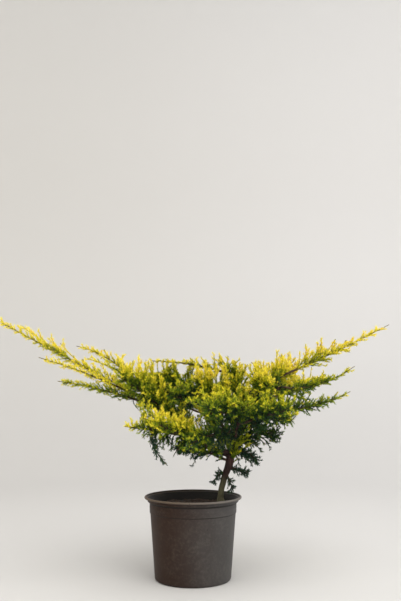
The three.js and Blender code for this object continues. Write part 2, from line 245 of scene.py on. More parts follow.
MASSES = table("name limb at azimuth reach climb sag shoots shoot lift tone fill dense", [
    ["foliage_left_leader", "bough_left", 1, 182, 286, 150, 1, 20, 36, 0.35, "gold", 0.95, 1.8],
    ["foliage_left_upper", "bough_left", 0.8, 168, 168, 122, -22, 13, 42, 0.5, "gold", 0.75, 1.5],
    ["foliage_left_lower", "bough_left", 0.88, 192, 176, 47, -6, 15, 34, 0.25, "lime", 0.95, 1.7],
    ["foliage_left_crest", "bough_left", 0.68, 206, 99, 73, -6, 13, 60, 1.3, "gold", 1.2, 1.3],
    ["foliage_left_back", "bough_left", 0.5, 143, 116, 94, -4, 12, 60, 1.2, "lime", 1.0, 1],
    ["foliage_centre_left", "bough_centre_left", 1, 177, 66, 18, -3, 13, 56, 1.3, "lime", 1.35, 1.3],
    ["foliage_centre_front", "bough_centre_left", 0.66, 230, 87, 20, -4, 13, 62, 1.3, "gold", 0.9, 1],
    ["foliage_top", "trunk", 0.89, 194, 77, 51, 0, 12, 52, 1.2, "gold", 1.5, 1.5],
    ["foliage_top_left", "bough_top", 1, 182, 144, 25, -6, 13, 38, 0.4, "gold", 0.6, 1.3],
    ["foliage_front_left", "bough_front_left", 1, 184, 100, 15, 0, 13, 52, 0.9, "gold", 0.85, 1.2],
    ["foliage_front_left_crest", "bough_front_left", 0.66, 229, 103, 34, 0, 12, 54, 1.3, "gold", 0.9, 1.1],
    ["foliage_front_left_hanging", "bough_front_left", 0.88, 203, 30, -29, -6, 5, 24, -0.3, "deep", 1, 2],
    ["foliage_front", "bough_front", 1, 247, 131, 20, -2, 13, 58, 1.1, "gold", 1.0, 1.2],
    ["foliage_front_right", "bough_front", 0.8, 306, 120, 27, -2, 13, 56, 1.1, "lime", 1.15, 1.2],
    ["foliage_front_low", "bough_front", 0.6, 234, 132, -15, -6, 12, 42, 0.1, "deep", 1.0, 1.7],
    ["foliage_back_left", "bough_back_left", 1, 146, 177, 57, 0, 13, 56, 1.0, "lime", 1.3, 1.2],
    ["foliage_back_middle", "bough_back_left", 0.7, 94, 170, 82, 0, 13, 58, 1.0, "lime", 1.3, 1.2],
    ["foliage_back_right", "bough_back_right", 1, 34, 143, 31, 0, 12, 54, 1.0, "lime", 1.3, 1.2],
    ["foliage_back_far", "bough_back_right", 0.7, 82, 165, 45, 0, 13, 58, 1.0, "lime", 1.3, 1.2],
    ["foliage_right_leader", "bough_right", 1, 1, 196, 92, 2, 16, 44, 0.8, "gold", 1.0, 1.5],
    ["foliage_right_crest", "bough_right", 0.6, 43, 70, 18, -2, 11, 48, 1.3, "gold", 1.15, 1.3],
    ["foliage_right_front", "bough_right", 0.36, 276, 77, 4, -2, 12, 56, 1.3, "gold", 0.9, 1.2],
    ["foliage_right_middle", "bough_right_middle", 1, 354, 131, 37, 13, 14, 42, 0.6, "lime", 0.8, 1.5],
    ["foliage_right_lower", "bough_right_low", 1, 355, 122, 31, 8, 14, 42, 0.5, "lime", 0.7, 1.5],
    ["foliage_right_low_front", "bough_right_low", 0.7, 308, 68, 0, 0, 11, 44, 0.4, "lime", 0.75, 1.4],
    ["foliage_low_right", "trunk", 0.65, 9, 82, 20, -10, 13, 44, 0.1, "deep", 1, 2],
    ["foliage_low_right_hanging", "trunk", 0.6, 339, 47, -9, -8, 8, 26, -0.3, "deep", 0.9, 1.8],
    ["foliage_low_left", "trunk", 0.49, 197, 90, 27, -10, 12, 38, -0.1, "deep", 0.9, 1.8],
    ["sprig_left", "trunk", 0.4, 185, 21, -12, -5, 4, 12, 0, "deep", 0.8, 2],
    ["sprig_right", "trunk", 0.44, 354, 33, -5, -2, 5, 13, -0.2, "deep", 0.8, 2],
    ["sprig_low", "trunk", 0.39, 342, 13, -23, -2, 3, 10, -0.2, "deep", 0.8, 2],
    ["foliage_left_side", "bough_left", 0.94, 193, 201, 81, -6, 13, 28, 0.3, "gold", 0.8, 1.6],
])
SHORT_NAMES = [mass["name"].removeprefix("foliage_") for mass in MASSES]
print("boughs:", len(BOUGHS), "masses:", len(MASSES))

# %% Curves
NUDGE = 1e-4
EASE = {"bough": 26, "stem": 24}


def unit(vectors):
    vectors = np.asarray(vectors, float)
    return vectors / np.linalg.norm(vectors, axis=-1, keepdims=True)


class Bow:
    """A curve from start to end that leans on a middle point, or many such curves at once."""

    def __init__(self, start, middle, end):
        self.start, self.middle, self.end = (np.asarray(p, float) for p in (start, middle, end))

    def point(self, share):
        s = np.asarray(share, float)[..., None]
        return self.start * (1 - s) ** 2 + 2 * self.middle * s * (1 - s) + self.end * s**2

    def tangent(self, share):
        s = np.asarray(share, float)[..., None]
        return unit((self.middle - self.start) * (1 - s) + (self.end - self.middle) * s)


class Curve:
    """A curve whose direction is read from two points that lie near each other on it."""

    def tangent(self, share):
        share = np.asarray(share, float)
        ahead, behind = np.minimum(share + NUDGE, 1), np.maximum(share - NUDGE, 0)
        return unit(self.point(ahead) - self.point(behind))


class TrunkLine(Curve):
    """A smooth curve through the ends of the trunk's steps."""

    def __init__(self, points):
        points = np.asarray(points, float)
        before = 2 * points[0] - points[1]
        after = 2 * points[-1] - points[-2]
        self.points = np.vstack([before, points, after])
        self.steps = len(points) - 1

    def point(self, share):
        place = np.asarray(share, float) * self.steps
        i = np.minimum(place.astype(int), self.steps - 1)
        w = (place - i)[..., None]
        a, b, c, d = (self.points[i + k] for k in range(4))
        leaving, arriving = (c - a) / 2, (d - b) / 2
        cubic = 2 * b - 2 * c + leaving + arriving
        square = -3 * b + 3 * c - 2 * leaving - arriving
        return cubic * w**3 + square * w**2 + leaving * w + b


def bow_of(start, row):
    azimuth = math.radians(row["azimuth"])
    reach = row["reach"]
    end = start + np.array([math.cos(azimuth) * reach, math.sin(azimuth) * reach, row["climb"]])
    middle = (start + end) / 2 - np.array([0, 0, 2 * row["sag"]])
    return Bow(start, middle, end)


def trunk_line():
    point = np.array([*TRUNK["foot"], SOIL_TOP + GAP], float)
    points = [point]
    for length, lean in TRUNK["steps"]:
        lean = math.radians(lean)
        point = point + length * np.array([math.sin(lean), 0, math.cos(lean)])
        points.append(point)
    return TrunkLine(points)


def trunk_radius(share):
    return np.interp(share, np.linspace(0, 1, len(TRUNK["radii"])), TRUNK["radii"])


def length_of(curve, steps=60):
    points = curve.point(np.linspace(0, 1, steps))
    return float(np.linalg.norm(np.diff(points, axis=0), axis=1).sum())


class Eased(Curve):
    """A curve that leaves its parent in the parent's direction and bends over within a short way."""

    def __init__(self, curve, parent_tangent, way):
        self.curve = curve
        self.way = way
        self.length = length_of(curve)
        self.turn = parent_tangent - curve.tangent(0.0)

    def point(self, share):
        along = np.minimum(np.asarray(share, float) * self.length, self.way)[..., None]
        return self.curve.point(share) + self.turn * along * (1 - along / self.way) ** 2


limbs = {"trunk": {"curve": trunk_line(), "radius": trunk_radius}}
for row in BOUGHS:
    curve = bow_of(limbs[row["parent"]]["curve"].point(row["at"]), row)
    radius = lambda share, row=row: row["root"] + (row["tip"] - row["root"]) * share
    limbs[row["name"]] = {"curve": curve, "radius": radius}
    limbs[row["name"]]["parent"] = (limbs[row["parent"]]["curve"].tangent(row["at"]), EASE["bough"])
limbs["trunk"]["shown"] = limbs["trunk"]["curve"]
for limb in limbs.values():
    limb["length"] = length_of(limb["curve"])
    if "parent" in limb:
        limb["shown"] = Eased(limb["curve"], *limb["parent"])
print("trunk length:", round(limbs["trunk"]["length"]), "mm")

# %% [markdown]
# The bark of a young juniper is thin and splits into strips that run along the wood. The colour
# comes from the shader, but the ridges are real geometry, so that they show on the outline too.
# Each limb starts as a straight closed cylinder, made by extruding a circle ring by ring. While it
# is still straight, every vertex notes where it is: noise that is read there follows the grain
# after the cylinder has been bent along its curve.

# %% Straight limbs, bent and roughened
BARK = {"ring": 1.3, "ridge": 0.55, "grain": (2.2, 2.2, 16), "swell": 0.5, "swell_size": 14, "full": 5}
BARK_SIDES = {"trunk": 36, "bough": 18}
COLLAR = {"grow": 0.7, "length": 7}
UP = np.array([0.0, 0.0, 1.0])
NEARLY_ALONG = 0.95


def frames_along(curve, count):
    """Places along a curve with a tangent and two crosswise directions, turned as little as possible."""
    shares = np.linspace(0, 1, count + 1)
    points, tangents = curve.point(shares), curve.tangent(shares)
    across, found = np.array([0.0, 1.0, 0.0]), []
    for tangent in tangents:
        if abs(across @ tangent) > NEARLY_ALONG:
            across = np.array([1.0, 0.0, 0.0])
        across = unit(across - tangent * (across @ tangent))
        found.append(across)
    across = np.array(found)
    return points, tangents, across, np.cross(across, tangents)


def straight_cylinder(rings, sides):
    """A closed cylinder of radius 1 whose rings lie at heights 0, 1, 2 and so on."""
    work = bmesh.new()
    bmesh.ops.create_circle(work, cap_ends=True, radius=1, segments=sides)
    bmesh.ops.reverse_faces(work, faces=work.faces[:])
    edges = work.edges[:]
    for _ in range(rings):
        grown = bmesh.ops.extrude_edge_only(work, edges=edges)["geom"]
        upper = [g for g in grown if isinstance(g, bmesh.types.BMVert)]
        bmesh.ops.translate(work, vec=(0, 0, 1), verts=upper)
        edges = [g for g in grown if isinstance(g, bmesh.types.BMEdge) and g.is_boundary]
    bmesh.ops.contextual_create(work, geom=edges)
    bmesh.ops.recalc_face_normals(work, faces=work.faces[:])
    return work


def bark_height(grain):
    """How far the bark stands out at a place on the straightened limb, in millimetres."""
    ridged = 1 - abs(noise.noise(Vector(g / s for g, s in zip(grain, BARK["grain"])))) * 2
    swell = noise.noise(Vector(grain) / BARK["swell_size"])
    return BARK["ridge"] * (ridged - 0.5) + BARK["swell"] * swell


def limb_mesh(name, limb, sides, collar):
    """One limb with its bark, as a mesh with the attribute grain."""
    rings = round(limb["length"] / BARK["ring"])
    points, _, across, over = frames_along(limb["shown"], rings)
    work = straight_cylinder(rings, sides)
    grain_layer = work.verts.layers.float_vector.new("grain")
    scale = min(1, limb["radius"](0.5) / BARK["full"])
    seed = sum(map(ord, name))
    for vertex in work.verts:
        ring = round(vertex.co.z)
        share = ring / rings
        along = share * limb["length"]
        radius = limb["radius"](share)
        if collar:
            radius += radius * COLLAR["grow"] * math.exp(-along / COLLAR["length"])
        grain = (vertex.co.x * radius, vertex.co.y * radius, along + seed)
        vertex[grain_layer] = Vector(grain) * MM
        radius += scale * bark_height(grain) * (0 if ring == 0 else 1)
        vertex.co = Vector(points[ring] + radius * (across[ring] * vertex.co.x + over[ring] * vertex.co.y))
    bmesh.ops.recalc_face_normals(work, faces=work.faces[:])
    return mesh_of(work, name)


# %% [markdown]
# The bark's colour changes up the plant. The lower stem is still greyish green, the trunk above
# the first sprigs is reddish brown, and thin strips lift paler or darker. The patterns read the
# attribute grain, which the noise stretches along the wood.

# %% Bark
bark = Finish("bark", Roughness=0.85)
grain = bark.node("Attribute", {"attribute_name": "grain"}, output=1)
height = bark.axis(bark.place(), 2)
fibres = bark.noise(bark.stretched(grain, (1, 1, 0.12)), 1.4, detail=5, rough=0.65)
patches = bark.noise(bark.stretched(grain, (1, 1, 0.3)), 7, detail=3)
red_brown = bark.mix(fibres, colour(13, 6, 6), colour(58, 28, 23))
peeling = bark.between(patches, 0.52, 0.68)
red_brown = bark.mix(peeling * 0.5, red_brown, colour(80, 50, 42))
young = bark.mix(fibres, colour(44, 42, 28), colour(104, 100, 72))
is_foot = 1 - bark.between(height + patches * 0.016, 0.166, 0.186)
bark.feed(Base_Color=bark.mix(is_foot, red_brown, young), Roughness=0.75 + fibres * 0.2)
bark.bump(fibres + patches * 0.5, 0.5)

for name, limb in limbs.items():
    is_trunk = name == "trunk"
    sides = BARK_SIDES["trunk" if is_trunk else "bough"]
    mesh = limb_mesh(name + "_bark", limb, sides, collar=not is_trunk)
    add_piece(name + "_bark", mesh, bark.material, "bark", [name])
    print(name, len(mesh.polygons), "faces")

# %% [markdown]
# Foliage grows by one seeded rule. Side shoots spiral up the stem of each mass by the golden
# angle, lean forward and turn towards the light. The first round of shoots is the source's own,
# draw by draw, with its tests for room: each shoot keeps on its own side of the plane midway to
# the next stem, which keeps the masses apart. More rounds fill in between with finer shoots, which
# only keep off the limbs.

# %% The rule for shoots
SHOOT = {"bare": 0.1, "until": 0.99, "turn": 137.5, "wander": 40, "vary": 0.2}
FIRST, *LATER = table("shift roll scale lift spread underside", [
    [0.0, 0, 1.0, 1.0, 46, 0.6],
    [0.5, 75, 0.95, 0.8, 46, 0.7],
    [0.25, 200, 0.68, 0.25, 56, 0.9],
    [0.75, 310, 0.6, 0.0, 50, 1.0],
])
TRIES = (1, 0.7, 0.5)
FORK = {"from": 34, "at": 0.26, "angle": 50, "length": 0.66}
SPRAY = {"radius": 12, "slender": 4.8, "shortest": 10, "apart": 0.5}
SPRAY_SAMPLES = np.array([[0.25, 0.6], [0.5, 1], [0.75, 0.8], [1, 0.1]])
TIP_SPRAY = 20
LEADER_END = {"tip": 0.12, "rise": 1.8}
SHOOT_STEPS, STEM_STEPS, LIMB_STEPS = 48, 16, 24


def seeded(seed):
    """Random numbers from 0 to 1 that are the same on each run, and the same as the source's."""
    state = seed

    def draw():
        nonlocal state
        state = (state * 1664525 + 1013904223) % 2**32
        return state / 2**32

    return draw


def profile_of(root, rise, tip, fade):
    """How long a stem's shoots are, by the share of the stem where they start."""
    return lambda share: min(1, root + rise * share) * (tip + (1 - tip) * (1 - share) ** fade)


shoot_profile = profile_of(root=0.55, rise=2.2, tip=0.2, fade=0.8)
full_profile = profile_of(root=0.7, rise=2, tip=0.34, fade=0.6)


def leader_profile(share):
    return full_profile(share) * min(1, LEADER_END["tip"] + LEADER_END["rise"] * (1 - share))


def turned_out(tangent, across, roll, spread, lift):
    """A direction that leans out from a tangent and up, and which way it leans. Angles in degrees."""
    roll, spread = math.radians(roll), math.radians(spread)
    radial = across * math.cos(roll) + np.cross(tangent, across) * math.sin(roll)
    return unit(tangent * math.cos(spread) + radial * math.sin(spread) + UP * lift), radial


def shoots_of(mass, stem, draw, plan=FIRST, profile=shoot_profile, count=None, lift_share=1):
    """Side shoots of one stem: where each starts, its direction, its length and the stem's tangent."""
    count = count or mass["shoots"]
    lift = mass["lift"] * plan["lift"] * lift_share
    for i in range(count):
        share = SHOOT["bare"] + (1 - SHOOT["bare"]) * ((i + 0.5 + plan["shift"]) / count)
        share = min(share, SHOOT["until"])
        step = min(int(share * SHOOT_STEPS + 0.5), SHOOT_STEPS)
        start, tangent, across = (stem["frames"][k][step] for k in range(3))
        roll = i * SHOOT["turn"] + plan["roll"] + SHOOT["wander"] * (draw() - 0.5)
        direction, radial = turned_out(tangent, across, roll, plan["spread"], lift)
        shorten = plan["underside"] if radial[2] * (mass["lift"] or 1) < 0 else 1
        varied = 1 - SHOOT["vary"] + 2 * SHOOT["vary"] * draw()
        length = mass["shoot"] * profile(share) * varied * shorten * plan["scale"]
        yield i, share, start, direction, max(length, SPRAY["shortest"]), tangent


def spray_radius(length):
    return min(SPRAY["radius"], length / SPRAY["slender"] + 1)


def samples_of(start, direction, length, radius):
    return start + direction * (length * SPRAY_SAMPLES[:, :1]), radius * SPRAY_SAMPLES[:, 1]


stems = []
for mass in MASSES:
    curve = bow_of(limbs[mass["limb"]]["curve"].point(mass["at"]), mass)
    stems.append({
        "curve": curve,
        "length": length_of(curve),
        "frames": frames_along(curve, SHOOT_STEPS),
        "samples": curve.point(np.linspace(0, 1, STEM_STEPS + 1)),
        "shown": Eased(curve, limbs[mass["limb"]]["curve"].tangent(mass["at"]), EASE["stem"]),
    })
stem_samples = np.array([stem["samples"] for stem in stems])
limb_shares = np.linspace(0, 1, LIMB_STEPS + 1)
limb_points = np.vstack([limb["curve"].point(limb_shares) for limb in limbs.values()])
limb_radii = np.concatenate([limb["radius"](limb_shares) for limb in limbs.values()])


def keeps_to_its_space(points, radii, own):
    """True where a shoot stays on its own side of the plane midway to any other stem, and off the limbs."""
    to_stems = np.linalg.norm(points[:, None, None] - stem_samples[None], axis=3)
    nearest = to_stems.argmin(axis=2)
    distance = to_stems.min(axis=2)
    picked = stem_samples[np.arange(len(stems))[None], nearest]
    apart = np.linalg.norm(picked - picked[:, own : own + 1], axis=2)
    apart[:, own] = 1
    room = (distance**2 - distance[:, own : own + 1] ** 2) / (2 * apart)
    room[:, own] = np.inf
    to_limbs = np.linalg.norm(points[:, None] - limb_points[None], axis=2) - limb_radii
    return (room >= radii[:, None] + GAP).all() and (to_limbs >= radii[:, None] + GAP).all()


def crowds(points, radii, grown):
    """True where the outer part of a spray would run into one that its mass already has."""
    for other_points, other_radii in grown:
        apart = np.linalg.norm(points[1:, None] - other_points[None], axis=2)
        if (apart < (radii[1:, None] + other_radii[None]) * SPRAY["apart"]).any():
            return True
    return False


# %% [markdown]
# The crown is full of gaps. Where one shows in the photograph, it is noted here as a place in the
# picture and a radius, both in the picture's pixels. No twig ends where it would be seen
# in a gap. Long shoots that stand out are noted in the same way, and are grown further down.

# %% Places in the picture
PHOTO_WIDTH = 401
OPEN = np.array([
    [71, 350, 4], [80, 355, 4.5], [90, 343, 3], [98, 344, 2.5], [106, 345, 2.5], [154, 354, 4],
    [163, 354.5, 4.5], [171, 354.5, 4.5], [179, 355, 4.5], [187, 354.5, 4], [158, 368, 3.5],
    [182, 369.5, 4], [223.5, 350, 3.5], [235, 355.5, 4], [241, 348, 5], [246, 358, 3.5],
    [262, 357, 3], [271, 355, 4.5], [283, 347, 3.5], [294, 351, 3], [312, 345, 3], [328, 345, 3],
    [341, 339.5, 3.5], [348, 336.5, 3.5], [356, 333.5, 4], [367, 327.5, 3.5], [380, 323, 4],
    [308, 372, 3], [316, 372.5, 3], [329, 371, 3.5], [336, 370, 4], [343, 366.5, 3],
    [350, 363.5, 3.5], [318, 392, 3.5], [332, 393, 3], [341, 390.5, 3], [350, 388, 3], [310, 423, 5],
    [292, 438, 5], [270, 464, 4], [254, 479, 5], [121, 419, 4], [124, 434, 4], [128, 412, 4.5],
    [137, 413, 3], [138, 438, 3.5], [132, 402, 4], [173, 457, 5], [183, 461, 5.5], [166, 474, 5],
    [156, 466, 5], [210, 476, 4], [240, 490, 4], [198, 425, 3], [222, 425, 2.5], [216, 380, 3],
    [263, 439, 2.5], [203, 351, 3.5], [211, 349, 3.5], [235, 352, 3.5], [243, 353.5, 3.5],
    [250, 355, 3], [324, 389.5, 4], [333, 388.5, 4], [341, 386, 3.5], [297, 419, 3.5],
    [212, 459.5, 3.5], [205, 464, 3.5], [70, 357, 2.5],
])


def seen_at(place):
    """Where a place shows in the picture, in pixels from its upper left corner."""
    pitch = math.radians(CAMERA_PITCH)
    x, y, z = (place[k] - CAMERA_PLACE[k] for k in range(3))
    ahead = y * math.cos(pitch) + z * math.sin(pitch)
    up = z * math.cos(pitch) - y * math.sin(pitch)
    return PHOTO_WIDTH / 2 + PHOTO_FOCAL * x / ahead, PHOTO_HEIGHT / 2 - PHOTO_FOCAL * up / ahead


def place_at(x, y, depth):
    """The place that shows at a pixel, when it is as far back as depth."""
    pitch = math.radians(CAMERA_PITCH)
    across, up = (x - PHOTO_WIDTH / 2) / PHOTO_FOCAL, (PHOTO_HEIGHT / 2 - y) / PHOTO_FOCAL
    ahead, climb = math.cos(pitch) - up * math.sin(pitch), math.sin(pitch) + up * math.cos(pitch)
    ray = np.array([across, ahead, climb])
    return np.array(CAMERA_PLACE) + ray * (depth - CAMERA_PLACE[1]) / ray[1]


# %% [markdown]
# A shoot isn't one spike. Every few millimetres a short twig leaves it, and on a long shoot every
# sixth of those is a plume that carries short twigs of its own, so that a shoot ends in several
# feathery points. Each twig is a bow that leaves its parent at a low angle and then turns up.
# Twigs are only noted down here. Their wood and needles are made later, all at once, because a
# plant has thousands of them.

# %% Twigs that carry twigs
TWIG = {
    "apart": 3.0, "bare": 0.12, "until": 0.94, "spread": 28, "lift": 0.15, "lean": 0.55, "share": 0.24,
    "fade": 0.6, "shortest": 3.0, "longest": 7.5, "clear": 1, "upright": 1.3, "cut_back": 0.8,
    "least": 0.75, "vary": 0.5,
}
PLUME = {"from": 24, "every": 6, "share": 0.46, "fade": 0.4, "spread": 22, "lift": 0.2, "shortest": 9}
SIDEWAYS = np.array([0.31, 0.9, 0.3])
twigs = []


def in_the_air(place):
    """True where a place is seen, from the camera, in one of the gaps that are kept open."""
    x, y = seen_at(place)
    apart = np.hypot(OPEN[:, 0] - x, OPEN[:, 1] - y)
    return bool((apart < OPEN[:, 2] + TWIG["clear"]).any())


def add_twig(start, direction, leaning, length, level, mass, outer):
    """Notes a twig that starts along leaning and ends where direction and length say."""
    end = start + direction * length
    middle = start + unit(direction + leaning * TWIG["lean"]) * (length * 0.5)
    bow = Bow(start, middle, end)
    twig = {"bow": bow, "length": length, "level": level, "mass": mass, "outer": outer}
    twigs.append(twig)
    return twig


def grow_twigs(start, direction, leaning, length, level, mass, outer, draw):
    """A shoot or a plume with the finer twigs that spiral up it, cut back where a gap stays open."""
    while in_the_air(start + direction * length):
        length *= TWIG["cut_back"]
        if length < PLUME["shortest"]:
            return
    parent = add_twig(start, direction, leaning, length, level, mass, outer)
    span = TWIG["until"] - TWIG["bare"]
    dense = TWIG["upright"] if MASSES[mass]["lift"] > 1 else 1
    count = int(length * span / TWIG["apart"] * dense)
    turn = draw() * 360
    for k in range(count):
        share = TWIG["bare"] + span * (k + draw()) / count
        is_plume = level == 1 and length > PLUME["from"] and k % PLUME["every"] == 0
        kind = PLUME if is_plume else TWIG
        varied = TWIG["least"] + TWIG["vary"] * draw()
        size = length * kind["share"] * (1 - share) ** kind["fade"] * varied
        size = max(size, kind["shortest"])
        if not is_plume:
            size = min(size, TWIG["longest"])
        tangent = parent["bow"].tangent(share)
        across, roll = unit(np.cross(tangent, SIDEWAYS)), turn + k * SHOOT["turn"]
        outward, _ = turned_out(tangent, across, roll, kind["spread"], kind["lift"])
        place = parent["bow"].point(share)
        out = outer + (1 - outer) * share if level > 1 else share
        if is_plume:
            grow_twigs(place, outward, tangent, size, 2, mass, out, draw)
        elif not in_the_air(place + outward * size):
            add_twig(place, outward, tangent, size, 3, mass, out)


# %% Grow every mass
FILL_RADIUS = 1.0
LEADERS = {"left_leader", "left_upper", "left_lower", "left_side", "top_left"}
LEADERS |= {"right_leader", "right_middle", "right_lower"}
TAPERED = LEADERS | {"front_left"}
HUG = 0.5
LEADER_LIFT = 0.55
LEADER_BARE = 0.93


def is_bare(own, share):
    """True near the tip of a tapered mass."""
    return SHORT_NAMES[own] in TAPERED and share > LEADER_BARE


def first_round(mass, stem, own):
    """The source's own shoots, with its tests for room and its forks."""
    draw = seeded(101 + own)
    tip_share = 1 - TIP_SPRAY / stem["length"]
    begin, end = stem["curve"].point(tip_share), stem["curve"].end
    tip_length = np.linalg.norm(end - begin)
    grown = [samples_of(begin, unit(end - begin), tip_length, spray_radius(tip_length))]

    def fits(start, direction, length):
        points, radii = samples_of(start, direction, length, spray_radius(length))
        return keeps_to_its_space(points, radii, own) and not crowds(points, radii, grown)

    for i, share, start, direction, wanted, tangent in shoots_of(mass, stem, draw):
        if is_bare(own, share):
            continue
        length = next((wanted * t for t in TRIES if fits(start, direction, wanted * t)), None)
        if not length:
            continue
        grown.append(samples_of(start, direction, length, spray_radius(length)))
        yield start, direction, tangent, length
        if length < FORK["from"]:
            continue
        side = unit(np.cross(np.cross(direction, tangent), direction)) * (1 if i % 2 else -1)
        angle = math.radians(FORK["angle"])
        forked = unit(direction * math.cos(angle) + side * math.sin(angle))
        root = start + direction * (length * FORK["at"])
        fork_length = length * FORK["length"]
        if fits(root, forked, fork_length):
            grown.append(samples_of(root, forked, fork_length, spray_radius(fork_length)))
            yield root, forked, direction, fork_length


def later_round(mass, stem, own, number):
    """More shoots between the first ones, which only keep off the limbs."""
    draw = seeded(101 + own + 1000 * number)
    count = round(mass["shoots"] * mass["dense"])
    profile = leader_profile if SHORT_NAMES[own] in TAPERED else full_profile
    lift_share = LEADER_LIFT if SHORT_NAMES[own] in LEADERS else 1
    for _, share, start, direction, wanted, tangent in shoots_of(
        mass, stem, draw, LATER[number - 1], profile, count, lift_share
    ):
        if is_bare(own, share):
            continue
        if clear_of_limbs(start, direction, wanted * mass["fill"]):
            yield start, direction, tangent, wanted * mass["fill"]


def clear_of_limbs(start, direction, length, skipped=0):
    """True where a shoot keeps off the limbs, but for the first part of it that is skipped."""
    points, _ = samples_of(start + direction * skipped, direction, length - skipped, FILL_RADIUS)
    apart = np.linalg.norm(points[1:, None] - limb_points[None], axis=2) - limb_radii
    return (apart > FILL_RADIUS).all()


for own, (mass, stem) in enumerate(zip(MASSES, stems)):
    draw = seeded(5001 + own)
    hug = HUG if SHORT_NAMES[own] in LEADERS else 0
    for number in range(len(LATER) + 1):
        shoots = later_round(mass, stem, own, number) if number else first_round(mass, stem, own)
        for start, direction, leaning, length in list(shoots):
            grow_twigs(start, unit(direction + leaning * hug), leaning, length, 1, own, 0, draw)

# %% [markdown]
# The masses at the back and in front are broad fans. Side branches leave their stems to both
# sides, almost level, and carry short shoots all round, so that the crown is wide from every side.

# %% Side branches
WIDE = {"back_left", "back_middle", "back_right", "back_far", "left_back"}
WIDE |= {"front", "front_right", "right_low_front", "front_left_crest"}
BRANCH = {"shares": (0.06, 0.22, 0.38, 0.54, 0.7), "spread": 48, "rise": 0.3, "share": 0.58}
BRANCH |= {"bow": 0.05, "least": 0.85, "vary": 0.3, "shortest": 20, "clear_from": 8, "outer": 0.2}
BRANCH_SHOOT = {"apart": 4.5, "from": 0.08, "span": 0.9, "tip": 7, "more_at_root": 17, "spread": 40}
BRANCH_SHOOT |= {"lift": 0.5, "least": 0.8, "vary": 0.4, "outer": 0.1}


def grow_branch(start, reach, own, draw):
    """A branch as straight as its parent, with short shoots round it."""
    length = float(np.linalg.norm(reach))
    branch = Bow(start, start + reach / 2 + UP * (BRANCH["bow"] * length), start + reach)
    twigs.append({"bow": branch, "length": length, "level": 1, "mass": own, "outer": BRANCH["outer"]})
    frames = frames_along(branch, SHOOT_STEPS)
    shoot = BRANCH_SHOOT
    count = int(length / shoot["apart"])
    for k in range(count):
        share = shoot["from"] + shoot["span"] * (k + 0.5) / count
        place, tangent, across = (frames[n][round(share * SHOOT_STEPS)] for n in range(3))
        direction, _ = turned_out(tangent, across, k * SHOOT["turn"], shoot["spread"], shoot["lift"])
        size = shoot["tip"] + shoot["more_at_root"] * (1 - share)
        size *= shoot["least"] + shoot["vary"] * draw()
        grow_twigs(place, direction, tangent, size, 1, own, shoot["outer"], draw)


for own, stem in enumerate(stems):
    if SHORT_NAMES[own] not in WIDE:
        continue
    draw = seeded(3001 + own)
    for k, share in enumerate(BRANCH["shares"]):
        tangent = stem["curve"].tangent(share)
        turn = math.radians(BRANCH["spread"]) * (1 if k % 2 else -1)
        cosine, sine = math.cos(turn), math.sin(turn)
        x, y, _ = tangent
        direction = unit(np.array([x * cosine - y * sine, x * sine + y * cosine, BRANCH["rise"]]))
        varied = BRANCH["least"] + BRANCH["vary"] * draw()
        length = stem["length"] * BRANCH["share"] * math.sqrt(1 - share) * varied
        place = stem["curve"].point(share)
        is_clear = clear_of_limbs(place, direction, length, BRANCH["clear_from"])
        if length > BRANCH["shortest"] and is_clear:
            grow_branch(place, direction * length, own, draw)

# %% [markdown]
# The rule gives a crown of the right size and fullness, but not the very shoots that make this
# plant's outline. Those are listed by the mass that they belong to, the share of its stem where
# they start, the place in the picture where they end and how far back that is. The last column
# makes a shoot lighter or darker than its mass.

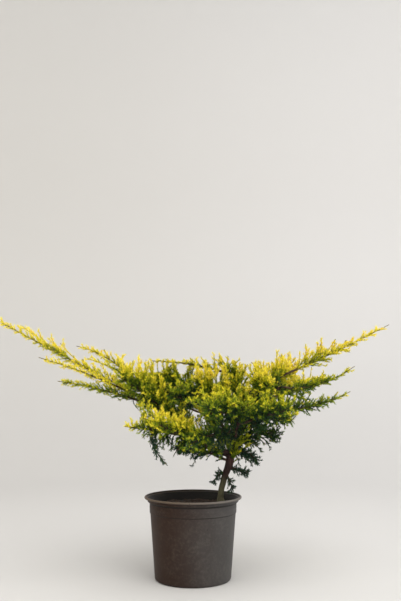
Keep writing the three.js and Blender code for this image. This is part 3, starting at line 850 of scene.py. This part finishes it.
# %% Long shoots
LONG_SHOOTS = [
    ("left_leader", [(0.5, 22, 326, 6, 0.05), (0.4, 61, 344, 6, 0.05), (0.47, 48, 338, 6, 0.05)]),
    ("left_upper", [(0.32, 88, 358.5, 24, 0.0)]),
    ("left_crest", [
        (0.95, 123, 355, -30, 0.0), (0.75, 133, 361, -20, 0.0), (0.6, 139, 358, -14, 0.05),
        (0.45, 146, 361, -8, 0.0), (0.3, 153.5, 362, 0, 0.0),
    ]),
    ("left_back", [(0.55, 158, 372, 50, 0.0)]),
    ("left_lower", [(0.35, 133, 404, -6, 0.0), (0.25, 138, 409, -6, 0.0)]),
    ("centre_left", [
        (0.55, 171.5, 365, 24, -0.3), (0.5, 175, 371, 20, -0.3), (0.05, 190, 367, 24, 0.0),
    ]),
    ("top_left", [
        (0.0, 228, 357, 8, 0.05), (0.1, 220, 356, 8, 0.05), (0.17, 214, 357, 12, 0.0),
        (0.3, 206, 360, 8, 0.0), (0.05, 233, 361, 6, 0.0),
    ]),
    ("right_front", [(0.0, 248, 365, 4, 0.0), (0.05, 256, 362, 2, 0.0)]),
    ("right_crest", [
        (0.0, 263, 364, 4, 0.0), (0.0, 252, 363, 0, 0.1), (0.5, 280, 356, 24, 0.05),
        (0.8, 288, 353, 36, 0.05), (0.3, 273, 363, 16, 0.0),
    ]),
    ("right_leader", [
        (0.05, 291, 360, 2, 0.05), (0.2, 305.5, 345, 2, 0.05), (0.14, 300, 355, 0, 0.05),
        (0.34, 321, 339, 2, 0.05), (0.34, 317, 343, 2, 0.05), (0.38, 331, 343, 2, 0.05),
        (0.36, 335, 340, 2, 0.05), (0.27, 313, 353, -4, 0.0),
    ]),
    ("right_lower", [
        (0.35, 309, 415, -26, -0.1), (0.5, 319, 411, -26, -0.1), (0.15, 300, 400, -24, 0.0),
        (0.05, 287, 398, -24, 0.0),
    ]),
    ("front_left", [
        (0.35, 160, 447, -72, -0.1), (0.5, 150, 443, -74, -0.1), (0.65, 144, 438, -74, 0.0),
        (0.3, 172, 444, -66, -0.15), (0.4, 165, 441, -78, 0.0), (0.45, 157, 441, -66, -0.1),
        (0.52, 167, 465, -80, -0.35), (0.54, 161, 458, -78, -0.35), (0.2, 168, 446, -66, -0.2),
    ]),
    ("front_left_crest", [
        (0.92, 155, 409, -118, 0.12), (0.82, 163, 407, -112, 0.12), (0.5, 178, 419, -90, 0.12),
        (0.42, 183, 416, -84, 0.12), (0.2, 187, 427, -72, 0.1), (0.12, 194, 427, -66, 0.1),
    ]),
    ("front_low", [
        (0.1, 222, 452, -56, -0.05), (0.05, 230, 448, -46, -0.05), (0.3, 214, 449, -74, -0.05),
    ]),
    ("low_right_hanging", [
        (0.35, 252, 465, -8, -0.1), (0.1, 239, 465, -4, -0.1), (0.55, 259, 465, -10, -0.1),
    ]),
    ("low_right", [(0.3, 262, 452, 6, -0.05), (0.6, 270, 448, 10, -0.1), (0.75, 277, 443, 14, -0.1)]),
    ("low_left", [
        (0.1, 219, 447, 0, 0.0), (0.55, 194, 463, -12, -0.1), (0.35, 206, 460, -4, -0.1),
        (0.75, 182, 452, -14, -0.05),
    ]),
    ("centre_left", [(0.0, 191, 361, 24, 0.05), (0.0, 197, 361, 26, 0.05), (0.1, 186, 374, 22, 0.0)]),
    ("top", [(0.3, 232, 374, 0, 0.0), (0.15, 241, 366, 4, 0.0), (0.1, 246, 370, 6, 0.0)]),
    ("front_left", [
        (0.45, 136, 404, -62, -0.2), (0.4, 141, 402, -70, -0.2), (0.35, 147, 404, -60, -0.2),
        (0.3, 151, 409, -66, -0.2), (0.5, 139, 411, -58, -0.2), (0.45, 157, 448, -56, -0.2),
        (0.3, 164, 449, -90, -0.2), (0.15, 172, 449, -60, -0.2), (0.25, 168, 444, -92, -0.2),
    ]),
    ("right_lower", [
        (0.05, 291, 393, -16, -0.1), (0.12, 297, 392, -20, -0.1), (0.2, 303, 394, -16, -0.1),
        (0.28, 309, 396, -20, -0.1), (0.1, 286, 391, -14, -0.1),
    ]),
    ("top", [(0.45, 217, 366, -8, 0.05), (0.4, 222, 373, -6, 0.0)]),
    ("right_front", [(0.0, 248, 374, -4, 0.0)]),
    ("sprig_left", [(0.1, 219, 469, 5, 0.0)]),
    ("sprig_right", [(0.75, 248, 470, 3, 0.0), (0.6, 245, 477, 3, 0.0)]),
    ("low_right", [(0.12, 244, 455, 6, 0.0), (0.2, 250, 452, 8, 0.0)]),
]
listed = [(SHORT_NAMES.index(name), *row) for name, rows in LONG_SHOOTS for row in rows]
for i, (own, at, photo_x, photo_y, depth, tone) in enumerate(listed):
    draw = seeded(7001 + i)
    start, tangent = stems[own]["curve"].point(at), stems[own]["curve"].tangent(at)
    reach = place_at(photo_x, photo_y, depth) - start
    length = float(np.linalg.norm(reach))
    first = len(twigs)
    grow_twigs(start, reach / length, tangent, length, 1, own, 0, draw)
    for twig in twigs[first:]:
        twig["tone"] = tone

# %% Shoots on the boughs and the trunk
LIMB_SHOOTS = table("limb from shoots shoot lift", [
    ["bough_left", 0.2, 50, 48, 0.5],
    ["bough_centre_left", 0.15, 22, 46, 0.6],
    ["bough_top", 0.1, 24, 52, 0.5],
    ["bough_right", 0.1, 26, 52, 0.8],
    ["bough_right_middle", 0.15, 26, 40, 0.3],
    ["bough_right_low", 0.15, 30, 40, 0.1],
    ["bough_front_left", 0.12, 46, 46, 0.0],
    ["bough_front", 0.15, 24, 42, 0.2],
    ["bough_back_left", 0.2, 30, 46, 0.7],
    ["bough_back_right", 0.15, 30, 46, 0.7],
    ["trunk", 0.46, 66, 46, 0.1],
])
LIMB_SHOOT = {"until": 0.98, "least": 0.7, "vary": 0.4, "under": -0.3, "hanging": 0.6, "clear_from": 6}
for i, row in enumerate(LIMB_SHOOTS):
    draw = seeded(9001 + i)
    own = next(k for k, mass in enumerate(MASSES) if mass["limb"] == row["limb"])
    frames = frames_along(limbs[row["limb"]]["curve"], SHOOT_STEPS)
    for k in range(row["shoots"]):
        share = row["from"] + (LIMB_SHOOT["until"] - row["from"]) * (k + 0.5) / row["shoots"]
        start, tangent, across = (frames[n][round(share * SHOOT_STEPS)] for n in range(3))
        roll = k * SHOOT["turn"] + SHOOT["wander"] * (draw() - 0.5)
        direction, radial = turned_out(tangent, across, roll, FIRST["spread"], row["lift"])
        shorten = LIMB_SHOOT["hanging"] if radial[2] < LIMB_SHOOT["under"] else 1
        length = row["shoot"] * (LIMB_SHOOT["least"] + LIMB_SHOOT["vary"] * draw()) * shorten
        if clear_of_limbs(start, direction, length, LIMB_SHOOT["clear_from"]):
            grow_twigs(start, direction, tangent, length, 1, own, 0, draw)
print("twigs by level:", [sum(twig["level"] == level for twig in twigs) for level in (1, 2, 3)])

# %% [markdown]
# The gold comes from light. A spray in full sun is yellow, one below others is green, and the
# undersides and the sprigs on the trunk are a deep bluish green. To find out how much light a
# spray gets, the crown is divided into small cubes, and the lengths of the twigs in and above
# each cube are added up from the top down. Every whorl of needles then gets one plain colour,
# by its light, by how far out it is on its shoot and by the tone of its mass.

# %% Light and colour
CUBE = 9
MARGIN = 3
SHADE = 70
TONE = {"gold": 0.08, "lime": -0.02, "deep": -0.24}
WARM = {
    "right_crest": 0.3, "top": 0.18, "low_right": 0.12, "right_leader": 0.08, "left_leader": 0.05,
    "left_crest": -0.05, "front_left": -0.07, "front_left_crest": -0.09, "right_middle": -0.1,
    "right_lower": -0.1, "right_low_front": -0.1, "front_right": -0.2, "centre_front": -0.26, "front": -0.28,
}
COLOURS = [
    ("bluish", -9.0, colour(46, 74, 56), "deep"),
    ("deep", 0.18, colour(50, 80, 32), "deep"),
    ("green", 0.34, colour(92, 122, 28), "lime"),
    ("lime", 0.5, colour(160, 172, 36), "lime"),
    ("yellow", 0.66, colour(224, 216, 46), "gold"),
    ("gold", 0.82, colour(255, 238, 74), "gold"),
    ("amber", 1.06, colour(250, 208, 58), "gold"),
    ("tips", 9.0, colour(124, 112, 54), "gold"),
]

for own, stem in enumerate(stems):
    twigs.append({"bow": stem["curve"], "length": stem["length"], "level": 0, "mass": own, "outer": 0})

starts, middles, ends = (
    np.array([getattr(twig["bow"], part) for twig in twigs]) for part in ("start", "middle", "end")
)
lengths, levels, masses, outers, own_tones = (
    np.array([twig.get(key, 0) for twig in twigs]) for key in ("length", "level", "mass", "outer", "tone")
)
tones = np.array([TONE[mass["tone"]] + WARM.get(name, 0) for mass, name in zip(MASSES, SHORT_NAMES)])
chance = np.random.default_rng(2024)


def light_at(points):
    """How much light reaches a place from above: 1 in the open, less below each twig."""
    fine = levels > 0
    low = middles.min(axis=0) - CUBE * MARGIN
    cells = ((middles[fine] - low) / CUBE).astype(int)
    shape = cells.max(axis=0) + 2 * MARGIN
    filled = np.zeros(shape)
    np.add.at(filled, tuple(cells.T), lengths[fine])
    shifts = [(dx, dy) for dx in (-1, 0, 1) for dy in (-1, 0, 1)]
    spread = sum(np.roll(filled, shift, (0, 1)) for shift in shifts) / len(shifts)
    above = np.cumsum(spread[:, :, ::-1], axis=2)[:, :, ::-1] - spread * 0.5
    at = np.clip(((points - low) / CUBE).astype(int), 0, np.array(shape) - 1)
    return np.exp(-above[tuple(at.T)] / SHADE)


# %% [markdown]
# A needle is an awl: three sides that meet in a point. One is made with the cone operator, and
# its corners are then copied in whorls of three up every twig. Each whorl is turned by sixty
# degrees from the last, as on the real plant. Towards the tip of a twig the needles are shorter
# and lie closer to it. Arrays do the copying, because two hundred thousand separate objects
# would be far too slow. The copies of one colour are joined into one piece, or into a few where
# one would be too large.

# %% Copies of a small shape
def pattern_of(work):
    """The corners and triangles of a small shape, ready to be copied many times."""
    bmesh.ops.triangulate(work, faces=work.faces[:])
    work.verts.index_update()
    corners = np.array([vertex.co[:] for vertex in work.verts])
    triangles = np.array([[vertex.index for vertex in face.verts] for face in work.faces])
    work.free()
    return corners, triangles


def joined(name, copies, triangles, smooth):
    """One mesh from many copies of a pattern, given by the places of their corners."""
    corners = copies.shape[1]
    faces = (triangles[None] + np.arange(len(copies))[:, None, None] * corners).reshape(-1)
    mesh = bpy.data.meshes.new(name)
    mesh.vertices.add(copies.shape[0] * corners)
    mesh.vertices.foreach_set("co", copies.reshape(-1))
    mesh.loops.add(len(faces))
    mesh.loops.foreach_set("vertex_index", faces)
    mesh.polygons.add(len(faces) // 3)
    mesh.polygons.foreach_set("loop_start", np.arange(0, len(faces), 3))
    mesh.update(calc_edges=True)
    if smooth:
        mesh.shade_smooth()
    else:
        mesh.shade_flat()
    return mesh


def crosswise(directions):
    """Two directions across each of the given ones."""
    across = unit(np.cross(directions, SIDEWAYS))
    return across, np.cross(directions, across)


def awl_pattern():
    """Three sides from a base of radius 1 to a point at height 1."""
    work = bmesh.new()
    bmesh.ops.create_cone(work, cap_ends=True, segments=3, radius1=1, radius2=0, depth=1)
    bmesh.ops.translate(work, vec=(0, 0, 0.5), verts=work.verts)
    bmesh.ops.remove_doubles(work, verts=work.verts, dist=1e-6)
    return pattern_of(work)


# %% Whorls of needles
NEEDLE = {
    "apart": 3.1, "long": 5.6, "tip_long": 4.2, "shortest": 0.8, "longest": 1.15, "wide": 0.84,
    "thick": 0.32, "spread": 32, "tip_spread": 12, "vary": 9, "turn": 0.15,
}
SCORE = {"light": 0.44, "outer": 0.36, "outward": 0.16, "centre": 60, "far": 150, "twig": 0.07, "whorl": 0.03}
FINE_TWIG = 0.5
BARE = np.array([0.2, 0.06, 0.0, 0.0])
SHOOT_END = 0.92
OLIVE_ENDS = 0.6
AMBER_WITHIN = 0.8

bare = BARE[levels]
counts = np.maximum(2, (lengths * (1 - bare) / NEEDLE["apart"]).astype(int))
owner = np.repeat(np.arange(len(twigs)), counts)
number = np.arange(len(owner)) - np.repeat(np.cumsum(counts) - counts, counts)
share = bare[owner] + (1 - bare[owner]) * (number + 0.6) / counts[owner]
bows = Bow(starts[owner], middles[owner], ends[owner])
point, tangent = bows.point(share), bows.tangent(share)
outer = outers[owner] + (1 - outers[owner]) * share * np.where(levels[owner] > 1, FINE_TWIG, 1)
mottle = chance.normal(0, SCORE["twig"], len(twigs))[owner] + chance.normal(0, SCORE["whorl"], len(owner))
outward = np.clip(np.hypot(point[:, 0] - SCORE["centre"], point[:, 1]) / SCORE["far"], 0, 1)
score = SCORE["light"] * light_at(point) + SCORE["outer"] * outer + SCORE["outward"] * outward
score = score + tones[masses[owner]] + own_tones[owner] + mottle
limits = np.array([limit for _, limit, _, _ in COLOURS[1:-1]])
shade = np.searchsorted(limits, score)
of_leader = np.array([name in LEADERS for name in SHORT_NAMES])[masses[owner]]
at_tip = (levels[owner] == 0) & (share > LEADER_BARE) & of_leader
shoot_end = (levels[owner] == 1) & (share > SHOOT_END) & (chance.random(len(owner)) < OLIVE_ENDS)
names = [name for name, *_ in COLOURS]
shade[(shade == names.index("amber")) & (outer > AMBER_WITHIN)] = names.index("gold")
shade[at_tip | shoot_end] = names.index("tips")
print("whorls:", len(owner))

# %% Needles
needle_corners, needle_triangles = awl_pattern()
NEEDLE_FINISH = {"Roughness": 0.55, "Specular_IOR_Level": 0.22}
MOST_WHORLS = 15000


def needles_of(picked):
    """The corners of every needle on the picked whorls."""
    picked = np.repeat(picked, 3)
    turn = np.tile(np.arange(3) * 2 * math.pi / 3, len(picked) // 3)
    turn = turn + (number[picked] % 2) * math.pi / 3 + chance.normal(0, NEEDLE["turn"], len(picked))
    along = tangent[picked]
    across, over = crosswise(along)
    radial = across * np.cos(turn)[:, None] + over * np.sin(turn)[:, None]
    tip = np.where(at_tip[picked], 1, share[picked] ** 3)
    spread = NEEDLE["spread"] + (NEEDLE["tip_spread"] - NEEDLE["spread"]) * tip
    spread = np.radians(spread + chance.normal(0, NEEDLE["vary"], len(picked)))[:, None]
    ahead = along * np.cos(spread) + radial * np.sin(spread)
    side = unit(np.cross(ahead, radial))
    up = np.cross(side, ahead)
    long = NEEDLE["long"] + (NEEDLE["tip_long"] - NEEDLE["long"]) * tip
    long = long * chance.uniform(NEEDLE["shortest"], NEEDLE["longest"], len(picked))
    x, y, z = needle_corners.T[:, None, :, None]
    shape = side[:, None] * x * NEEDLE["wide"] + up[:, None] * y * NEEDLE["thick"]
    return point[picked][:, None] + shape + ahead[:, None] * z * long[:, None, None]


needle_count = 0
for i, (name, _, tint, slot_name) in enumerate(COLOURS):
    picked = np.flatnonzero(shade == i)
    if not len(picked):
        continue
    finish = Finish("needles_" + name, Base_Color=tint, **NEEDLE_FINISH)
    parts = np.array_split(picked, math.ceil(len(picked) / MOST_WHORLS))
    for number_of_part, part in enumerate(parts, 1):
        part_name = f"needles_{name}_{number_of_part}" if len(parts) > 1 else "needles_" + name
        corners = needles_of(part)
        mesh = joined(part_name, corners, needle_triangles, smooth=False)
        nodes = [MASSES[m]["name"] for m in np.unique(masses[owner[part]])]
        add_piece(part_name, mesh, finish.material, slot_name, nodes)
        needle_count += len(corners)
        print(part_name, len(corners))
print("needles in all:", needle_count, "triangles:", needle_count * len(needle_triangles))

# %% [markdown]
# Every twig is also wood. A short tube is made by the same operator as the limbs, and its copies
# are bent along the bows of the twigs and tapered. Thick stems get more rings and sides than fine
# wood, and the finest twigs are awls, like the needles.

# %% Wood of stems and twigs
WOOD = table("name rings sides tint root tip", [
    ["stems", 24, 7, "bark", 2.3, 0.55],
    ["shoots", 4, 3, "bark", 0.9, 0.35],
    ["plumes", 3, 3, "green", 0.5, 0.3],
    ["twigs", 1, 3, "green", 0.4, 0.25],
])
green_wood = Finish("green_wood", Base_Color=colour(92, 96, 34), Roughness=0.6)
stem_bark = Finish("stem_bark", Roughness=0.8)
place = stem_bark.place()
mottled = stem_bark.noise(place, 2.5, detail=4)
brown = stem_bark.mix(mottled, colour(34, 20, 16), colour(86, 58, 38))
olive = stem_bark.mix(mottled, colour(70, 62, 32), colour(132, 118, 58))
far_out = stem_bark.between(stem_bark.maths("ABSOLUTE", stem_bark.axis(place, 0)), 0.14, 0.25)
stem_bark.feed(Base_Color=stem_bark.mix(far_out, brown, olive))
stem_bark.bump(mottled, 0.3)

for level, wood in enumerate(WOOD):
    picked = np.flatnonzero(levels == level)
    if wood["rings"] > 1:
        corners, triangles = pattern_of(straight_cylinder(wood["rings"], wood["sides"]))
    else:
        corners, triangles = needle_corners, needle_triangles
    share_up = corners[:, 2] / wood["rings"]
    if level:
        bows = Bow(*(array[picked][:, None] for array in (starts, middles, ends)))
        centre, ahead = bows.point(share_up), bows.tangent(share_up)
    else:
        centre = np.array([stem["shown"].point(share_up) for stem in stems])
        ahead = np.array([stem["shown"].tangent(share_up) for stem in stems])
    across, over = crosswise(ahead)
    radius = wood["root"] + (wood["tip"] - wood["root"]) * share_up
    x, y = (corners[:, k] * radius for k in (0, 1))
    copies = centre + across * x[None, :, None] - over * y[None, :, None]
    finish = stem_bark if wood["tint"] == "bark" else green_wood
    mesh = joined(wood["name"], copies, triangles, smooth=True)
    nodes = [MASSES[m]["name"] for m in np.unique(masses[picked])]
    slot_name = "bark" if wood["tint"] == "bark" else "lime"
    add_piece(wood["name"], mesh, finish.material, slot_name, nodes)
    print(wood["name"], len(picked), "triangles:", len(picked) * len(triangles))

# %% [markdown]
# The pot is a thin moulded nursery pot. Its shape is the same all round, so half of its outline is
# drawn as a line and spun about the middle. The lip is a rolled bead with a groove and a ledge
# below it, a small step runs round the wall, and the floor stands on a ring. The drain holes are
# cut with a Boolean modifier, whose result is kept.

# %% Pot
POT_TURNS = 128
BEAD = {"radius": 2.1, "centre": (82.9, 137.9), "steps": 12, "from": -40, "turn": 235}
DRAIN = {"holes": 6, "radius": 5, "circle": 48, "sides": 24, "cut": 20}
OUTSIDE = [
    (0, 1.2), (56.5, 1.2), (57.5, 0.2), (58.3, 0), (61.8, 0), (63.6, 0.5), (65.2, 2), (66, 4.2),
    (74.5, 111), (74.7, 112.1), (75.5, 112.5), (75.6, 113.2), (75.85, 121), (76.1, 121.4),
    (75.9, 121.9), (76, 129.4), (75.6, 130.2), (76.3, 130.9), (79, 131.1), (79.6, 131.8),
    (79.6, 134.4), (79.1, 135.1), (79.7, 135.6),
]
INSIDE = [
    (79.4, 137.2), (77.9, 135.3), (76.3, 132.4), (74.2, 129), (73.7, 113), (72.8, 111), (64.2, 7),
    (63, 4.2), (60.2, 3), (0, 3),
]


def pot_outline():
    """The outside, the rolled bead from its inner low edge over the top, and the inside."""
    x, z = BEAD["centre"]
    bead = []
    for k in range(BEAD["steps"] + 1):
        turn = math.radians(BEAD["from"] + BEAD["turn"] * k / BEAD["steps"])
        bead.append((x + BEAD["radius"] * math.cos(turn), z + BEAD["radius"] * math.sin(turn)))
    return OUTSIDE + bead + INSIDE


def spun(outline, turns):
    """A shape of revolution from half of its outline."""
    work = bmesh.new()
    corners = [work.verts.new((radius, 0, height)) for radius, height in outline]
    for first, second in zip(corners, corners[1:]):
        work.edges.new((first, second))
    whole = {"cent": (0, 0, 0), "axis": (0, 0, 1), "angle": 2 * math.pi, "use_merge": True}
    bmesh.ops.spin(work, geom=work.verts[:] + work.edges[:], steps=turns, **whole)
    bmesh.ops.remove_doubles(work, verts=work.verts, dist=1e-4)
    bmesh.ops.recalc_face_normals(work, faces=work.faces[:])
    return work


def cut_drain_holes(pot_mesh):
    """The pot's mesh with its drain holes."""
    work = bmesh.new()
    for k in range(DRAIN["holes"]):
        angle = (k + 0.5) / DRAIN["holes"] * 2 * math.pi
        place = Vector((math.cos(angle), math.sin(angle), 0)) * DRAIN["circle"]
        drill = {"radius1": DRAIN["radius"], "radius2": DRAIN["radius"], "depth": DRAIN["cut"]}
        drill |= {"segments": DRAIN["sides"], "matrix": Matrix.Translation(place)}
        bmesh.ops.create_cone(work, cap_ends=True, **drill)
    cutters = bpy.data.objects.new("drain_cutters", mesh_of(work, "drain_cutters"))
    whole = bpy.data.objects.new("whole_pot", pot_mesh)
    for thing in (cutters, whole):
        bpy.context.scene.collection.objects.link(thing)
    cut = whole.modifiers.new("holes", "BOOLEAN")
    cut.object = cutters
    cut.solver = "EXACT"
    seen = whole.evaluated_get(bpy.context.evaluated_depsgraph_get())
    result = bpy.data.meshes.new_from_object(seen)
    bpy.data.objects.remove(whole)
    bpy.data.objects.remove(cutters)
    return result


# Faces that look into the pot, and its inner floor, get the second finish, whose darker colours are painted
# shade.
FACES_UP, FACES_IN, FLOOR_TOP = 0.5, 0.3, 5
work = spun(pot_outline(), POT_TURNS)
for face in work.faces:
    centre = face.calc_center_median()
    outwards = face.normal.x * centre.x + face.normal.y * centre.y
    is_floor = face.normal.z > FACES_UP and centre.z < FLOOR_TOP
    face.material_index = int(is_floor or outwards < -FACES_IN * math.hypot(centre.x, centre.y))
pot_mesh = cut_drain_holes(mesh_of(work, "pot_shell"))
pot_mesh.shade_smooth()


def pot_finish(name, brown, lit_grey, shade_side_dust_and_highlight, lit_side_dust_and_highlight):
    """Moulded plastic, dusted and specked: browner and darker on one side as painted shade, greyer and paler
    on the other as painted light, with a paler lip that is partly dusted and partly a painted highlight, and
    dark lines of painted shade in the grooves.
    """
    plastic = Finish(name, Roughness=0.5, Specular_IOR_Level=0.25)
    place = plastic.place()
    x, z = plastic.axis(place, 0), plastic.axis(place, 2)
    broad = plastic.noise(place, 45, detail=3)
    fine = plastic.noise(place, 5, detail=5, rough=0.6)
    # From the pot's left to its right: the browner, darker left is painted shade and the greyer, paler right
    # is painted light.
    side = plastic.between(x + broad * 0.04, -0.04, 0.09)
    # This colour is dust, browner or greyer by side as painted shade and light, and on the lip it is also a
    # painted highlight.
    dust_and_highlight = plastic.mix(side, shade_side_dust_and_highlight, lit_side_dust_and_highlight)
    plain = plastic.mix(side, brown, lit_grey)
    dusty = plastic.mix(plastic.between(fine + broad * 0.4, 0.6, 1.0) * 0.2, plain, dust_and_highlight)
    # The lip above LIP_HEIGHTS is paler: partly dust, partly a painted highlight on the bead.
    lip_highlight_and_groove_shade = plastic.mix(plastic.between(z, *LIP_HEIGHTS) * 0.8, dusty, dust_and_highlight)
    # Dark lines below the lip's ledge and at the step round the wall are painted shade.
    for low, high in SHADED_GROOVES:
        line = plastic.between(z, low - 0.0004, low + 0.0002) - plastic.between(z, high, high + 0.0006)
        lip_highlight_and_groove_shade = plastic.mix(line * 0.75, lip_highlight_and_groove_shade, colour(18, 15, 12))
    specks = plastic.between(plastic.noise(place, 3.2, detail=1), 0.73, 0.76)
    marked = plastic.mix(specks * 0.7, lip_highlight_and_groove_shade, colour(26, 22, 19))
    plastic.feed(Base_Color=marked, Roughness=0.42 + fine * 0.25)
    plastic.bump(fine + broad, 0.2)
    return plastic.material


LIP_HEIGHTS = 0.1355, 0.138
SHADED_GROOVES = (0.1283, 0.1311), (0.1118, 0.1128)
# Brown is the left side's painted shade and grey the right side's painted light; the paler pair are dust,
# also used as the lip's painted highlight.
OUTER_COLOURS = colour(42, 21, 6), colour(70, 68, 67), colour(104, 90, 76), colour(122, 116, 110)
# The inside's colours are far darker than the outside's: painted shade within the pot.
INNER_SHADED_COLOURS = colour(16, 12, 9), colour(20, 17, 14), colour(42, 34, 26), colour(46, 40, 34)
outside = pot_finish("pot_plastic", *OUTER_COLOURS)
inside = pot_finish("pot_inside_shaded", *INNER_SHADED_COLOURS)
add_piece("pot_shell", pot_mesh, outside, "pot", ["pot"])
pot_mesh.materials.append(inside)
print("pot:", len(pot_mesh.polygons), "faces")

# %% [markdown]
# The compost is a spun disc with a low crown. Its top is made lumpy by moving the corners up and
# down with noise, and it rises a little around the foot of the trunk. A few hundred chips of bark
# lie on it, half sunk in.

# %% Compost
SOIL = {"radius": 72.2, "edge": 121, "crown": 4, "slope": 15.5, "rings": 26, "turns": 90}
LUMPS = {"high": 1.5, "size": 9, "crumb_high": 0.8, "crumb_size": 3.1, "mound": 2.2, "mound_size": 14}
SOIL_SIDE = [(0, 3.3), (59.5, 3.3), (63.2, 7.4), (72.2, 113), (72.2, 120.4)]
CHIPS = {"tries": 420, "circle": 68, "clear": 11, "lean": 0.3, "high": 0.3, "turn": 5}
CHIP_SIZES = (3, 9), (1.5, 4), (0.8, 2)


def soil_height(x, y):
    """The height of the compost's top at a place."""
    radius = math.hypot(x, y)
    level = SOIL["edge"] + SOIL["crown"] * min(1, (SOIL["radius"] - radius) / SOIL["slope"])
    level += LUMPS["high"] * noise.noise(Vector((x, y, 7)) / LUMPS["size"])
    level += LUMPS["crumb_high"] * noise.noise(Vector((x, y, 3)) / LUMPS["crumb_size"])
    return level + LUMPS["mound"] * math.exp(-((from_trunk(x, y) / LUMPS["mound_size"]) ** 2))


def from_trunk(x, y):
    return math.hypot(x - TRUNK["foot"][0], y - TRUNK["foot"][1])


rings = SOIL["rings"]
top = [(SOIL["radius"] * (1 - k / rings), SOIL["edge"]) for k in range(1, rings + 1)]
work = spun(SOIL_SIDE + top, SOIL["turns"])
for vertex in work.verts:
    if vertex.co.z > SOIL["edge"] - 0.1:
        vertex.co.z = soil_height(vertex.co.x, vertex.co.y)
soil_mesh = mesh_of(work, "compost")
soil_mesh.shade_smooth()

compost = Finish("compost", Roughness=0.92)
crumbs = compost.noise(compost.place(), 3, detail=6, rough=0.7)
light_crumbs = compost.between(crumbs, 0.35, 0.7)
# The compost's colours are near black: partly the compost's own dark colour, partly painted shade inside the
# pot.
compost.feed(Base_Color=compost.mix(light_crumbs, colour(12, 9, 7), colour(48, 36, 27)))
compost.bump(crumbs, 1.6)
add_piece("compost", soil_mesh, compost.material, "soil", ["soil"])

work = bmesh.new()
bmesh.ops.create_cube(work, size=1)
bmesh.ops.scale(work, vec=(0.55, 0.5, 1), verts=[v for v in work.verts if v.co.x > 0])
chip_corners, chip_triangles = pattern_of(work)
chips = []
for _ in range(CHIPS["tries"]):
    radius, angle = CHIPS["circle"] * math.sqrt(chance.random()), chance.uniform(0, 2 * math.pi)
    x, y = radius * math.cos(angle), radius * math.sin(angle)
    if from_trunk(x, y) < CHIPS["clear"]:
        continue
    size = Matrix.Diagonal((*(chance.uniform(*span) for span in CHIP_SIZES), 1))
    tilt, lean = (Matrix.Rotation(chance.normal(0, CHIPS["lean"]), 4, axis) for axis in "XY")
    turn = Matrix.Rotation(angle * CHIPS["turn"], 4, "Z") @ (tilt @ lean)
    lie = Matrix.Translation((x, y, soil_height(x, y) + CHIPS["high"])) @ turn @ size
    chips.append([lie @ Vector(corner) for corner in chip_corners])
chip_bark = Finish("chip_bark", Roughness=0.85)
streaks = chip_bark.noise(chip_bark.stretched(chip_bark.place(), (1, 0.3, 1)), 2, detail=4)
# The chips are darkened the same way: partly their own colour, partly painted shade inside the pot.
chip_bark.feed(Base_Color=chip_bark.mix(streaks, colour(24, 16, 12), colour(74, 54, 40)))
mesh = joined("compost_chips", np.array(chips), chip_triangles, smooth=False)
add_piece("compost_chips", mesh, chip_bark.material, "soil", ["soil"])
print("compost:", len(soil_mesh.polygons), "faces and", len(chips), "chips")

# %% [markdown]
# The plant stands on a pale floor that curves up into a wall all round, as in a photo studio.
# Half of its side view is drawn as a line and spun about the plant, so that no corner or edge
# shows behind it, from whichever side it is looked at.

# %% Floor and wall
STUDIO = {"floor": 1300, "bend": 1500, "high": 4200, "steps": 24, "turns": 96}
side_view = [(0, 0)]
for step in range(STUDIO["steps"] + 1):
    turn = math.pi / 2 * step / STUDIO["steps"]
    across, up = math.sin(turn), 1 - math.cos(turn)
    side_view.append((STUDIO["floor"] + STUDIO["bend"] * across, STUDIO["bend"] * up))
side_view.append((STUDIO["floor"] + STUDIO["bend"], STUDIO["high"]))
work = spun(side_view, STUDIO["turns"])
bmesh.ops.reverse_faces(work, faces=work.faces[:])
studio_mesh = mesh_of(work, "studio")
studio_mesh.transform(Matrix.Scale(MM, 4))
studio_mesh.shade_smooth()
plaster = Finish("plaster", Roughness=0.9)
place = plaster.place()
# The plaster is paler to the right than to the left, as painted light from the right, and darker on the floor
# than on the wall, as painted shade that offsets the key lamp's stronger light there.
side = plaster.between(plaster.axis(place, 0), -1.4, 1.4)
upper = plaster.between(plaster.axis(place, 2), -0.3, 1.0)
floor_with_painted_light = plaster.mix(side, colour(206, 204, 201), colour(211, 210, 209))
wall_with_painted_light = plaster.mix(side, colour(215, 213, 209), colour(230, 229, 228))
plaster.feed(Base_Color=plaster.mix(upper, floor_with_painted_light, wall_with_painted_light))
studio_mesh.materials.append(plaster.material)
studio = bpy.data.objects.new("studio", studio_mesh)
bpy.context.scene.collection.objects.link(studio)

# %% [markdown]
# The light is soft, as on a bright day under cloud. One large lamp stands to the right of the
# camera and high up, a weaker and warmer one to the left, and the sky fills in the rest.

# %% Light
LAMPS = table("name place size power tint", [
    ["key", (700, -1300, 2600), 3000, 80, (1.0, 0.985, 0.96)],
    ["fill", (-1700, -1500, 1500), 1600, 5, (1.0, 0.96, 0.9)],
])
AIM = (0, 0, 250)
SKY = {"tint": (0.97, 0.98, 1.0, 1), "strength": 0.72}
for row in LAMPS:
    lamp = bpy.data.lights.new(row["name"], "AREA")
    lamp.size = row["size"] * MM
    lamp.energy = row["power"]
    lamp.color = row["tint"]
    lamp_object = bpy.data.objects.new(row["name"], lamp)
    lamp_object.location = Vector(row["place"]) * MM
    aim = Vector(AIM) * MM - lamp_object.location
    lamp_object.rotation_euler = aim.to_track_quat("-Z", "Y").to_euler()
    bpy.context.scene.collection.objects.link(lamp_object)

world = bpy.data.worlds.new("sky")
world.use_nodes = True
background = world.node_tree.nodes["Background"]
background.inputs["Color"].default_value = SKY["tint"]
background.inputs["Strength"].default_value = SKY["strength"]
bpy.context.scene.world = world
bpy.context.scene.view_settings.view_transform = "Standard"
